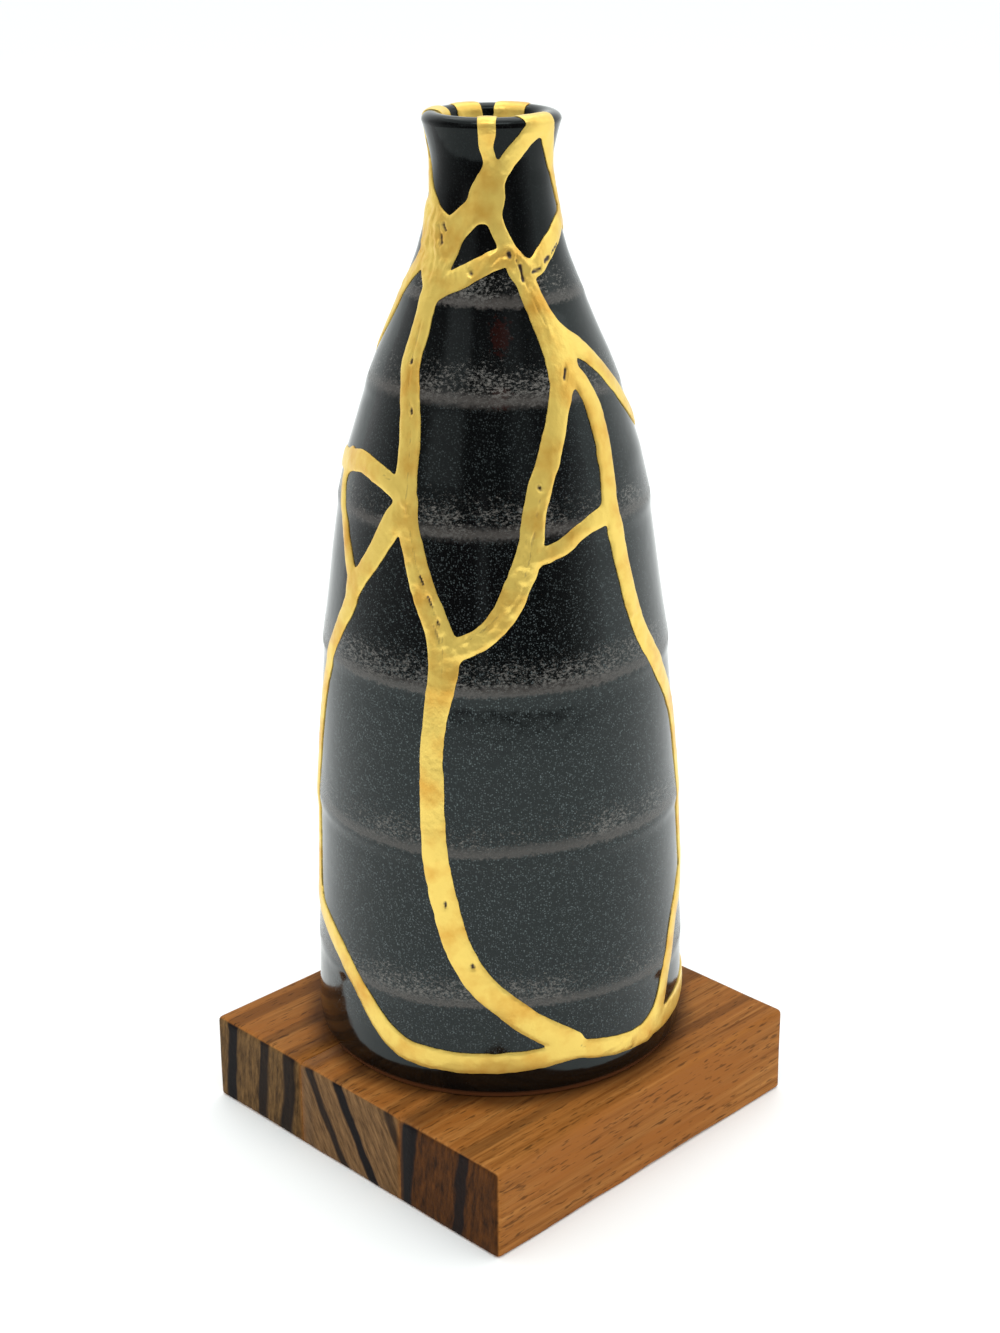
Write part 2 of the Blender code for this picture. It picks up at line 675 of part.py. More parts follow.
# Gold
def make_gold(name, wall, material, parent):
    body = Body()
    over = wall.in_gold & ~wall.in_crack
    outline = wall.border(wall.in_gold)
    crack_sides = wall.border(wall.in_crack)

    def over_lip(pair):
        return wall.on_rim[pair[0]] and wall.on_rim[pair[1]]

    edge_points = {wall.names[index] for pair in outline if not over_lip(pair) for index in pair}

    def proud(index):
        thickness = EDGE_THICKNESS if wall.names[index] in edge_points else CROWN_THICKNESS
        return LACQUER_GAP + thickness

    def top(index):
        return body.corner(("top", wall.names[index]), wall_place(*wall.places[index], 0, -proud(index)))

    def under(index):
        return body.corner(("under", wall.names[index]), wall_place(*wall.places[index], 0, -LACQUER_GAP))

    def inner(index):
        return body.corner(("inner", wall.names[index]), wall_place(*wall.places[index], 1, LACQUER_GAP))

    def top_row(index):
        """Over the lip along the top of the gold, down to its end inside."""
        angle = wall.places[index][0]
        row = [top(index)]
        for turn in (*LIP_ANGLES, 180.0):
            row.append(body.corner(("fold", wall.names[index], turn), lip_place(angle, turn, proud(index))))
        return row

    def under_row(index):
        """Over the lip along the underside of the gold, to the inside."""
        angle = wall.places[index][0]
        row = [under(index)]
        for turn in LIP_ANGLES:
            row.append(body.corner(("tuck", wall.names[index], turn), lip_place(angle, turn, LACQUER_GAP)))
        return [*row, inner(index)]

    for triangle in wall.refill(wall.in_gold, wall.border(wall.in_crack, across_the_cut=False), []):
        body.face([top(corner) for corner in triangle])
    for index, triangle in enumerate(wall.triangles):
        if over[index]:
            body.face([under(corner) for corner in reversed(triangle)])
        if wall.in_crack[index]:
            body.face([inner(corner) for corner in reversed(triangle)])
    for a, b in outline:
        if over_lip((a, b)):
            body.strip(top_row(b), top_row(a))
            body.face([top_row(b)[-1], inner(b), inner(a), top_row(a)[-1]])
        else:
            body.face([top(a), under(a), under(b), top(b)])
    for index in edge_points:
        if wall.on_rim[index]:
            body.strip(top_row(index), under_row(index))
    for a, b in wall.border(over):
        if over_lip((a, b)):
            body.strip(under_row(a), under_row(b))
    for a, b in crack_sides:
        if not over_lip((a, b)):
            rows = []
            for index in (a, b):
                rows.append(under_row(index) if wall.on_rim[index] else [under(index), inner(index)])
            body.face([*rows[1], *reversed(rows[0])])
    return body.make(name, material, parent)


# Wooden base
def make_strip(name, center_y, width, material):
    mesh = bmesh.new()
    bmesh.ops.create_cube(mesh, size=1.0)
    bmesh.ops.scale(mesh, vec=(BASE_LENGTH, width, BASE_THICKNESS), verts=mesh.verts)
    data = bpy.data.meshes.new(name)
    mesh.to_mesh(data)
    mesh.free()
    data.materials.append(material)
    item = bpy.data.objects.new(name, data)
    item.location = (0.0, center_y, BASE_THICKNESS / 2)
    bpy.context.scene.collection.objects.link(item)
    rounding = item.modifiers.new("rounded_edges", "BEVEL")
    rounding.width = EDGE_ROUNDING
    rounding.segments = 1
    return item


def make_base():
    wood = make_material("wood", (0.38, 0.13, 0.045), 0.55, 0.0)
    side_place = MIDDLE_STRIP_WIDTH / 2 + GLUE_LINE + SIDE_STRIP_WIDTH / 2
    make_strip("base_strip_front", -side_place, SIDE_STRIP_WIDTH, wood)
    make_strip("base_strip_middle", 0.0, MIDDLE_STRIP_WIDTH, wood)
    make_strip("base_strip_left", side_place, SIDE_STRIP_WIDTH, wood)


def make_vase():
    axis = bpy.data.objects.new("vase_axis", None)
    axis.location = (VASE_X, VASE_Y, BASE_THICKNESS + REST_GAP)
    axis.rotation_euler = (0.0, 0.0, math.radians(FACING_DEGREES))
    bpy.context.scene.collection.objects.link(axis)
    glazed = make_material("black_glazed_stoneware", (0.012, 0.014, 0.016), 0.12, 0.0)
    gold = make_material("gold_lacquer", (0.62, 0.42, 0.10), 0.3, 0.85)
    wall = WallMap()
    pieces = shard_pieces(wall)
    for name, degrees, percent in SHARDS:
        spot = np.array(to_map(math.radians(degrees), percent / 100 * VASE_HEIGHT))
        spot[0] = MAP_START + (spot[0] - MAP_START) % MAP_LENGTH
        away = np.linalg.norm(wall.middles - spot, axis=1)
        away[pieces < 0] = math.inf
        make_shard(name, wall, pieces == pieces[int(np.argmin(away))], glazed, axis)
    make_gold("gold_seams", wall, gold, axis)


clear_scene()
make_base()
make_vase()
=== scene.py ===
import math

import bpy
import numpy as np
from mathutils import Matrix, Vector


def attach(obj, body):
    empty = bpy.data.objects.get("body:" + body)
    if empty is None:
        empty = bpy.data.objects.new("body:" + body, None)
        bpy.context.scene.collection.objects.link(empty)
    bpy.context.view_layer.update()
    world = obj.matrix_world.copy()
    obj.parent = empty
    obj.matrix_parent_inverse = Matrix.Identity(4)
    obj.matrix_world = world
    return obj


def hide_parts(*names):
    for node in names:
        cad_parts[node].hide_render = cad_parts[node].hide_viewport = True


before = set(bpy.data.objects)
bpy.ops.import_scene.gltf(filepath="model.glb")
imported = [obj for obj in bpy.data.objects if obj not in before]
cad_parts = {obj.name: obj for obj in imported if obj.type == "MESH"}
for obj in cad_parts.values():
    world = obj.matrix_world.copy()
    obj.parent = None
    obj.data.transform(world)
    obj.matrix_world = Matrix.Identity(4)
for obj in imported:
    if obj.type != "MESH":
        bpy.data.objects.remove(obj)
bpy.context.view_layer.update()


# Camera
# It stands about half a metre from the vase, facing a corner of the base and tipped down
# as in the photograph, with a slight roll.

CAMERA_PLACE = Vector((-0.3122, -0.3123, 0.2759))
CAMERA_HEADING = math.radians(44.96)
CAMERA_PITCH = math.radians(-20.986)
CAMERA_ROLL = math.radians(-0.3305)
CAMERA_LENS = 59.81
CAMERA_SENSOR = 36.0
CAMERA_SHIFT = -0.0057
CAMERA_NEAR = 0.01

forward = Vector((math.cos(CAMERA_HEADING) * math.cos(CAMERA_PITCH),
                  math.sin(CAMERA_HEADING) * math.cos(CAMERA_PITCH), math.sin(CAMERA_PITCH)))
level_right = forward.cross(Vector((0, 0, 1))).normalized()
level_up = level_right.cross(forward)
right = level_right * math.cos(CAMERA_ROLL) + level_up * math.sin(CAMERA_ROLL)
up = level_up * math.cos(CAMERA_ROLL) - level_right * math.sin(CAMERA_ROLL)
camera_data = bpy.data.cameras.new("camera")
camera_data.lens = CAMERA_LENS
camera_data.sensor_width = CAMERA_SENSOR
camera_data.shift_y = CAMERA_SHIFT
camera_data.clip_start = CAMERA_NEAR
camera = bpy.data.objects.new("camera", camera_data)
camera_turn = Matrix((right, up, -forward)).transposed().to_4x4()
camera.matrix_world = Matrix.Translation(CAMERA_PLACE) @ camera_turn
bpy.context.scene.collection.objects.link(camera)
bpy.context.scene.camera = camera
bpy.context.scene.view_settings.view_transform = "Standard"


# Studio
# A white table in an evenly lit pale room, with three large soft panels. A dark curved
# screen on the camera's side is there only to be mirrored by the glaze and the gold.

def paint(code):
    """Linear colour from a six-figure sRGB code."""
    parts = [int(code[place:place + 2], 16) / 255 for place in (0, 2, 4)]
    return (*[part / 12.92 if part <= 0.04045 else ((part + 0.055) / 1.055) ** 2.4 for part in parts], 1.0)


def fill(node, sockets):
    """Give sockets their values, or link them from a socket or from a node's first output in use."""
    for name, value in sockets.items():
        if isinstance(value, bpy.types.Node):
            value = next(output for output in value.outputs if output.enabled)
        if isinstance(value, bpy.types.NodeSocket):
            node.id_data.links.new(value, node.inputs[name])
        else:
            node.inputs[name].default_value = value


def add(tree, kind, sockets=None, stops=(), **settings):
    """Add one shader node with its settings and sockets and, for a ramp, its grey stops from low to high."""
    made = tree.nodes.new("ShaderNode" + kind)
    for name, value in settings.items():
        setattr(made, name, value)
    fill(made, sockets or {})
    if stops:
        ramp = made.color_ramp.elements
        ramp[0].position, ramp[1].position = stops[0][0], stops[-1][0]
        for position, _ in stops[1:-1]:
            ramp.new(position)
        for element, (_, grey) in zip(ramp, stops):
            element.color = (grey, grey, grey, 1.0)
    return made


def new_material(name):
    material = bpy.data.materials.new(name)
    material.use_nodes = True
    return material, material.node_tree, material.node_tree.nodes["Principled BSDF"]


def new_piece(name, places, faces, material):
    """A smooth mesh object from points in metres and faces."""
    data = bpy.data.meshes.new(name)
    data.from_pydata([tuple(place) for place in places], [], faces)
    data.materials.append(material)
    data.shade_smooth()
    item = bpy.data.objects.new(name, data)
    bpy.context.scene.collection.objects.link(item)
    return item


# Matt white paint on a board: no sheen, only the vase's soft shadow
FLOOR_REACH = 6.0
table_material, tree, shader = new_material("matt_white_table")
fill(shader, {"Base Color": paint("f8f8f8"), "Roughness": 0.9})
table = new_piece("table", [(-FLOOR_REACH, -FLOOR_REACH, 0), (FLOOR_REACH, -FLOOR_REACH, 0),
                            (FLOOR_REACH, FLOOR_REACH, 0), (-FLOOR_REACH, FLOOR_REACH, 0)],
                  [(0, 1, 2, 3)], table_material)

ROOM_LIGHT = 1.09
world = bpy.data.worlds.new("room")
world.use_nodes = True
bpy.context.scene.world = world
fill(world.node_tree.nodes["Background"], {"Color": paint("fafffe"), "Strength": ROOM_LIGHT})

# Matt black cloth with pale slots, which the glaze mirrors as upright streaks. Headings are
# degrees from the camera's side, each with the glow there, in the screen's low and high part.
CAMERA_SIDE = -135.0
SCREEN_AWAY = 0.48
SCREEN_HEIGHT = 0.62
SCREEN_LEFT = -125.0
SCREEN_RIGHT = 75.0
SCREEN_STEPS = 40
SCREEN_LOW = ((-125, 1.0), (-100, 0.6), (-78, 0.35), (-50, 0.10), (-30, 0.0), (-13, 0.0), (-8, 0.28),
              (-3, 0.0), (30, 0.0), (48, 0.12), (60, 0.45), (75, 1.0))
SCREEN_HIGH = ((-125, 0.8), (-95, 0.5), (-82, 0.08), (-60, 0.05), (-50, 0.5), (-30, 0.4), (-22, 0.0),
               (8, 0.0), (18, 0.18), (30, 0.16), (38, 0.02), (55, 0.10), (75, 0.8))
SCREEN_PARTING = (0.19, 0.27)
screen_material, tree, shader = new_material("matt_black_screen")
heading = add(tree, "Attribute", attribute_name="heading").outputs["Fac"]
level = add(tree, "SeparateXYZ", {0: add(tree, "TexCoord").outputs["Object"]}).outputs["Z"]
high = add(tree, "MapRange", {"Value": level, "From Min": SCREEN_PARTING[0],
                              "From Max": SCREEN_PARTING[1]})
glows = [add(tree, "ValToRGB", {"Fac": heading},
             stops=[((degrees - SCREEN_LEFT) / (SCREEN_RIGHT - SCREEN_LEFT), glow) for degrees, glow in part])
         for part in (SCREEN_LOW, SCREEN_HIGH)]
glow = add(tree, "Mix", {"Factor": high, 6: glows[0], 7: glows[1]}, data_type="RGBA")
fill(shader, {"Base Color": paint("060606"), "Emission Color": paint("ffffff"), "Emission Strength": glow})
screen_turns = np.radians(np.linspace(SCREEN_LEFT, SCREEN_RIGHT, SCREEN_STEPS + 1) + CAMERA_SIDE)
screen_places = [(SCREEN_AWAY * math.cos(turn), SCREEN_AWAY * math.sin(turn), level)
                 for level in (0.0, SCREEN_HEIGHT) for turn in screen_turns]
row = SCREEN_STEPS + 1
screen = new_piece("screen", screen_places,
                   [(place, place + 1, place + row + 1, place + row) for place in range(SCREEN_STEPS)],
                   screen_material)
shares = screen.data.attributes.new("heading", "FLOAT", "POINT")
shares.data.foreach_set("value", np.tile(np.linspace(0, 1, row), 2).astype(np.float32))
screen.visible_camera = False
screen.visible_diffuse = False
screen.visible_shadow = False

VASE_MIDDLE = Vector((0.003, 0.003, 0.10))


def soft_panel(name, heading, height, away, width, tall, power):
    """A rectangular soft light that looks at the vase from a heading in degrees."""
    light = bpy.data.lights.new(name, "AREA")
    light.shape = "RECTANGLE"
    light.size = width
    light.size_y = tall
    light.energy = power
    item = bpy.data.objects.new(name, light)
    item.location = (VASE_MIDDLE.x + away * math.cos(math.radians(heading)),
                     VASE_MIDDLE.y + away * math.sin(math.radians(heading)), height)
    item.rotation_euler = (VASE_MIDDLE - item.location).to_track_quat("-Z", "Y").to_euler()
    bpy.context.scene.collection.objects.link(item)


soft_panel("panel_right", -38.0, 0.95, 1.0, 0.8, 0.9, 1.2)
soft_panel("panel_overhead", 45.0, 1.3, 0.5, 1.0, 1.0, 4.0)
soft_panel("panel_over_camera", CAMERA_SIDE, 1.25, 0.55, 1.0, 0.4, 3.4)


# Glazed bottle
# Thrown on the wheel from dark stoneware clay, glazed nearly black, then broken into shards.
# The throwing left soft ridges with a step under each, and fine grey crystals crowd together
# in the glaze above every ridge.

VASE_AXIS = (0.0028, 0.0034)
VASE_FOOT = 0.0207
FACING = math.radians(CAMERA_SIDE)
MM = 0.001
# From here sizes are in millimetres and heights count from the foot
WALL = 4.2
RIM = 198.4
LIP_ROUNDING = 1.6
FLOOR_LEVEL = 5.4
FLOOR_CORNER = 6.0
FOOT_RADIUS = 40.2
FOOT_RING = 5.0
FOOT_RECESS = 1.2
# Outer form without its ridges: height and radius
LEVELS = ((0, FOOT_RADIUS), (1.5, 40.8), (4, 41.0), (12, 40.7), (20, 40.4), (32, 40.0), (45, 39.4),
          (57, 39.0), (68, 38.4), (79, 37.6), (90, 36.7), (100, 35.5), (111, 34.05), (122, 32.4),
          (132, 30.4), (142, 27.25), (147, 25.5), (152, 23.7), (157, 21.5), (162, 19.4), (167, 17.3),
          (172, 15.35), (177, 13.95), (182, 12.95), (186, 12.3), (189.4, 12.05), (192, 12.3),
          (196, 13.2), (200, 14.4))
# Throwing ridges: height of the step, how far the ridge stands out
RIDGES = ((20.6, 0.26), (55.2, 0.34), (90.4, 0.36), (122.0, 0.30), (146.2, 0.26), (164.5, 0.16))
RIDGE_ABOVE = 7.0
RIDGE_BELOW = 1.8
RIDGE_WANDER = 0.7
RIDGE_WAVER = 0.3
# Height and how far the bottle leans away from the front there
LEAN = ((40, 0.5), (80, 0.0), (110, -0.25))
UNEVENNESS = 0.10
UNEVEN_PATCH = 22.0
PATH_STEP = 0.1
SMOOTHING_STEPS = 30
LIP_STEPS = 24
NECK_DEPTH = 40.0

# The form, smoothed, as one path up the outside, over the lip and down inside the neck
fine_heights = np.arange(0.0, RIM + PATH_STEP / 10, PATH_STEP)
fine_radii = np.interp(fine_heights, *zip(*LEVELS))
blur = np.exp(-np.linspace(-3, 3, 2 * SMOOTHING_STEPS + 1) ** 2 / 2)
blur /= blur.sum()
fine_radii = np.pad(fine_radii, SMOOTHING_STEPS, mode="reflect", reflect_type="odd")
fine_radii = np.convolve(fine_radii, blur, mode="valid")
flare_over_last_mm = fine_radii[-1] - fine_radii[-11]
half_wall = WALL * math.hypot(1.0, flare_over_last_mm) / 2
lip_turns = np.linspace(0, math.pi, LIP_STEPS + 1)[1:-1]
inner_heights = np.arange(RIM, RIM - NECK_DEPTH, -PATH_STEP)
inner_stretch = np.hypot(1.0, np.gradient(fine_radii, PATH_STEP))
inner_radii = np.interp(inner_heights, fine_heights, fine_radii - WALL * inner_stretch)
lip_middle = fine_radii[-1] - half_wall
path_radius = np.concatenate([fine_radii, lip_middle + half_wall * np.cos(lip_turns), inner_radii])
path_height = np.concatenate([fine_heights, RIM + LIP_ROUNDING * np.sin(lip_turns), inner_heights])
path_steps = np.hypot(np.diff(path_radius), np.diff(path_height))
path_reach = np.concatenate([fine_heights, RIM + np.cumsum(path_steps[len(fine_heights) - 1:])])
LIP_END = float(path_reach[len(fine_heights) + len(lip_turns)])
path_out = np.stack([np.gradient(path_height, path_reach), -np.gradient(path_radius, path_reach)], 1)
path_stretch = np.linalg.norm(path_out, axis=1)
path_out /= path_stretch[:, None]

LATTICE_SIZE = 64
LATTICE = np.random.default_rng(11).random((LATTICE_SIZE, LATTICE_SIZE, LATTICE_SIZE))


def lumps(points, size):
    """Smooth random lumps between -1 and 1, of a size in millimetres, at points in millimetres."""
    spot = points / size
    base = np.floor(spot).astype(int)
    part = spot - base
    part = part * part * (3 - 2 * part)
    total = np.zeros(len(points))
    for x in (0, 1):
        for y in (0, 1):
            for z in (0, 1):
                corner = (base + (x, y, z)) % LATTICE_SIZE
                weight = np.abs(1 - x - part[:, 0]) * np.abs(1 - y - part[:, 1]) * np.abs(1 - z - part[:, 2])
                total += weight * LATTICE[corner[:, 0], corner[:, 1], corner[:, 2]]
    return total * 2 - 1


def ridges(angle, height):
    """How far the thrown wall stands out at each place."""
    out = np.zeros(len(height))
    for level, proud in RIDGES:
        wander = RIDGE_WANDER * np.sin(angle + level) + RIDGE_WAVER * np.sin(3 * angle + level)
        above = height - level - wander
        out += proud * np.exp(-(above / np.where(above > 0, RIDGE_ABOVE, RIDGE_BELOW)) ** 2)
    return out


def bottle_points(angle, reach, proud, follow=1.0):
    """Points at a place on the path, proud of the glaze, in millimetres round the bottle's own axis."""
    radius = np.interp(reach, path_reach, path_radius)
    height = np.interp(reach, path_reach, path_height)
    out = np.stack([np.interp(reach, path_reach, path_out[:, side]) for side in (0, 1)], 1)
    spot = np.stack([radius * np.cos(angle), radius * np.sin(angle), height], 1)
    stand = proud + np.where(reach < RIM, follow * ridges(angle, height), 0.0)
    stand = stand + UNEVENNESS * lumps(spot, UNEVEN_PATCH)
    radius = radius + stand * out[:, 0]
    height = height + stand * out[:, 1]
    lean = np.interp(height, *zip(*LEAN))
    return np.stack([radius * np.cos(angle), radius * np.sin(angle) + lean, height], 1)


def inside_points(angle, height):
    """Points on the inside of the wall, with a rounded corner down to the floor."""
    reach = np.minimum(height, RIM)
    radius = np.interp(reach, path_reach, path_radius) - WALL * np.interp(reach, path_reach, path_stretch)
    corner = np.clip((FLOOR_LEVEL + FLOOR_CORNER - height) / (FLOOR_LEVEL + FLOOR_CORNER), 0.0, 1.0)
    radius = radius - FLOOR_CORNER * corner ** 2
    level = np.where(corner > 0, FLOOR_LEVEL + FLOOR_CORNER * (1 - corner) ** 2, height)
    lean = np.interp(level, *zip(*LEAN))
    return np.stack([radius * np.cos(angle), radius * np.sin(angle) + lean, level], 1)


def in_place(points):
    """From millimetres round the bottle's axis to metres in the frame."""
    x = points[:, 0] * math.cos(FACING) - points[:, 1] * math.sin(FACING)
    y = points[:, 0] * math.sin(FACING) + points[:, 1] * math.cos(FACING)
    return np.stack([VASE_AXIS[0] + x * MM, VASE_AXIS[1] + y * MM, VASE_FOOT + points[:, 2] * MM], 1)


# Cracks, with the gold that fills them: places along each as degrees from the front, height
# and width. Above the rim the height counts on over the lip and down the inside.
SEAMS = {
    "front_lip": ((-4, 207, 4.0), (-4, 200, 3.5), (-4, 197, 3.2), (-4.5, 194.3, 2.7), (-1, 191, 2.9),
        (0, 188, 4.4)),
    "neck_slant": ((46, 206, 8.0), (44, 200, 7.0), (41, 198.6, 5.2), (33.4, 196.7, 3.8), (22.5, 193.9, 3.5),
        (12.9, 191.3, 3.4), (3.7, 188.6, 3.6), (-2, 186, 4.0)),
    "neck_side": ((49, 202, 3.6), (51, 198.5, 3.8), (63, 193.2, 3.6), (77, 188, 2.6), (86, 183, 2.2),
        (93, 179.5, 2.4)),
    "neck_trunk": ((1, 190, 4.0), (-2.5, 187.5, 5.4), (-5, 184.7, 7.0), (-5.3, 182.8, 6.0)),
    "neck_left_arm": ((-4, 185, 5.0), (-12.3, 183, 5.0), (-22.7, 180.8, 5.2), (-34.6, 177.6, 6.0),
        (-42, 173.5, 7.0), (-44, 169.5, 5.5)),
    "neck_rise": ((-35, 177.6, 4.5), (-44, 179, 4.5), (-56, 181, 4.0), (-70, 184.5, 2.8), (-84, 188, 2.6),
        (-98, 193, 3.4), (-108, 198, 4.4), (-103, 206, 5.0), (-97, 216, 4.0)),
    "patch": ((-72, 181.5, 5.0), (-64.5, 178.8, 6.5), (-56, 175.2, 7.4), (-48.6, 171.7, 7.0),
        (-41, 167.5, 5.4)),
    "slant": ((-42, 166.8, 4.6), (-26.7, 169.1, 4.4), (-12.8, 171.2, 4.0), (1.9, 173.1, 3.8),
        (13.3, 173.4, 3.6), (20.5, 171.5, 4.4)),
    "neck_right_arm": ((-2, 184.5, 4.4), (0, 182.4, 3.6), (3.9, 179.4, 3.2), (10, 176, 3.1),
        (16.2, 173, 3.6), (20.5, 171, 4.6)),
    "shoulder_rise": ((20, 170.8, 4.0), (31.8, 171.5, 3.6), (44.9, 174.1, 3.8), (62, 177, 3.8),
        (78, 179, 3.4), (93, 179.5, 3.4)),
    "shoulder_fall": ((20.3, 171.4, 4.4), (23.5, 168, 4.2), (27.3, 164.3, 4.8), (31.5, 160.8, 5.8),
        (35.5, 157, 7.4)),
    "right_slant": ((35, 158.4, 5.4), (47.6, 156.1, 4.4), (60.2, 151.7, 3.8), (70.8, 146.4, 3.8),
        (86, 139.6, 4.0), (100, 136.4, 4.2), (115, 135, 4.4), (138, 136, 4.6)),
    "right_joint": ((36, 157.5, 7.0), (36, 154, 7.4), (35, 151, 6.6)),
    "right_branch": ((36, 152.5, 5.0), (43, 150, 4.2), (48, 145, 4.3), (49, 140, 4.4), (48, 133, 4.2),
        (46, 124.5, 4.5)),
    "right_seam": ((35, 152, 5.2), (31, 147.5, 5.0), (27, 142.8, 4.6), (21.5, 136, 4.6), (17, 131, 5.0),
        (14, 125, 4.8), (12, 118, 5.4), (8, 112.6, 5.4), (3.5, 107, 5.0), (-4, 102, 4.6), (-15, 98.6, 4.8)),
    "triangle_foot": ((46, 124.5, 4.2), (33, 122, 3.4), (23, 118.9, 3.3), (12, 117.2, 3.8)),
    "right_fall": ((46, 125, 4.6), (48, 120, 4.6), (50.5, 111, 4.3), (53, 104, 4.3), (57, 97, 4.6),
        (65, 89, 4.6), (75, 80, 4.4), (81, 72, 4.6), (83, 62, 4.8), (83.5, 50, 4.8), (84.5, 38, 4.6),
        (78, 34, 4.2), (70, 29, 4.0), (64, 21, 4.0), (58, 12, 4.2), (51, 7.6, 4.8)),
    "left_seam": ((-40.8, 168, 5.4), (-44, 165, 5.0), (-44, 161.5, 4.8), (-44, 158, 4.8), (-44, 153, 4.9),
        (-41, 149, 4.9), (-37.5, 143, 5.0), (-35.5, 138, 5.0), (-34.5, 132, 5.2), (-33.5, 127, 5.4),
        (-31, 122, 5.0), (-28, 116.5, 4.9), (-24, 110, 5.3), (-19.5, 104, 5.6), (-16.5, 98, 6.6),
        (-17, 93, 5.8), (-19.5, 84, 5.0), (-20.4, 76, 5.0), (-20.4, 68, 5.2), (-19.8, 59, 5.4),
        (-18.4, 50, 5.7), (-15.8, 42, 5.8), (-12, 34, 5.8), (-6, 27, 5.8), (1.5, 22, 5.8), (10, 17, 5.8),
        (22, 11.4, 5.6)),
    "left_arm": ((-33, 127.5, 5.0), (-38, 129.5, 4.2), (-47, 131.3, 4.0), (-61, 132.6, 4.6),
        (-74, 131, 4.8)),
    "left_corner": ((-73, 132, 4.4), (-75.5, 127, 3.2), (-70, 121.5, 2.9), (-64, 115.5, 2.9),
        (-57, 108.5, 3.6)),
    "left_slant": ((-34, 126, 5.0), (-38, 123.4, 5.2), (-43, 118.4, 4.6), (-49, 113, 4.4), (-57, 107, 4.6)),
    "left_fall": ((-56, 109, 4.8), (-57.5, 104, 4.4), (-63, 98, 4.0), (-69, 90.5, 3.8), (-75.5, 81, 3.8),
        (-80, 70, 4.0), (-84, 54, 4.2), (-83.5, 40, 4.2), (-79, 31.2, 4.4), (-68, 28.6, 4.4),
        (-56, 24.2, 4.4), (-47, 18.6, 4.4), (-38, 12.4, 4.8), (-30, 9.2, 5.0), (-20, 8.3, 4.8),
        (-6, 8.3, 4.6), (9, 9, 4.6), (22, 10.2, 4.6)),
    "foot_right": ((18, 11, 4.6), (31, 8.8, 4.4), (42, 7.6, 4.2), (52, 7.6, 4.4), (72, 8.4, 4.6),
        (95, 9.2, 4.6), (125, 10.8, 4.6), (155, 17, 4.6), (182, 24, 4.8)),
    "patch_side": ((-56, 175, 5.0), (-66, 171.5, 4.4), (-78, 167, 3.8), (-88, 160, 3.6), (-102, 152, 3.6),
        (-120, 149, 4.0)),
    "back_lip_right": ((157, 224, 5.6), (157, 204, 6.6), (157, 199, 5.6), (154, 190, 4.6), (150, 181, 4.4),
        (150, 171, 4.6)),
    "back_lip_left": ((205, 226, 4.0), (208, 210, 5.6), (208, 200, 5.4), (205, 190, 4.4), (202, 180, 4.4),
        (202, 167, 4.6)),
    "back_neck_side": ((86, 179.6, 3.6), (108, 177, 4.4), (130, 174.6, 4.4), (151, 171, 4.6)),
    "back_collar": ((149, 172.4, 4.4), (168, 166.8, 4.4), (186, 166, 4.4), (203, 168.4, 4.4)),
    "back_shoulder": ((201, 169, 4.4), (212, 160, 4.4), (226, 154.8, 4.4), (240, 149, 4.6), (237, 138, 4.6),
        (232, 128, 4.6), (222, 119, 4.6), (205, 112, 4.6), (201, 96, 4.6), (193, 82, 4.6), (187, 68, 4.8),
        (183, 52, 4.6), (184, 36, 4.6), (182, 23, 4.8)),
    "back_right_seam": ((150, 172.6, 4.4), (145, 160, 4.4), (139, 148, 4.4), (138, 136, 4.8),
        (160, 128, 4.4), (183, 121, 4.4), (206, 111, 4.6)),
    "back_flank_seam": ((284, 131, 4.4), (266, 129.2, 4.4), (249, 126, 4.4), (231, 128.4, 4.6)),
    "back_cross": ((84, 61, 4.0), (108, 67, 3.8), (135, 62, 3.8), (162, 64, 3.8), (187, 68, 4.2)),
    "back_left_foot": ((281, 31.6, 4.4), (258, 29, 4.4), (232, 21, 4.4), (207, 19, 4.4), (182, 24, 4.6)),
}
SEAM_STEPS = 8
# Farther than any place looked at, and the room left round each seam
FAR = 60.0
SEAM_ROOM = 4.0


def seam_lines():
    """Each seam as close points along a smooth curve: angle in radians, height and half width."""
    lines = []
    for places in SEAMS.values():
        knots = np.array(places, float)
        knots[:, 0] = np.radians(knots[:, 0])
        knots[:, 2] /= 2
        ends = np.vstack([2 * knots[0] - knots[1], knots, 2 * knots[-1] - knots[-2]])
        fine = []
        for before, start, end, after in zip(ends, ends[1:], ends[2:], ends[3:]):
            for t in np.linspace(0, 1, SEAM_STEPS, endpoint=False):
                bend = (2 * before - 5 * start + 4 * end - after) * t ** 2
                twist = (3 * start - before - 3 * end + after) * t ** 3
                fine.append(0.5 * (2 * start + (end - before) * t + bend + twist))
        fine.append(knots[-1])
        lines.append(np.array(fine))
    return lines


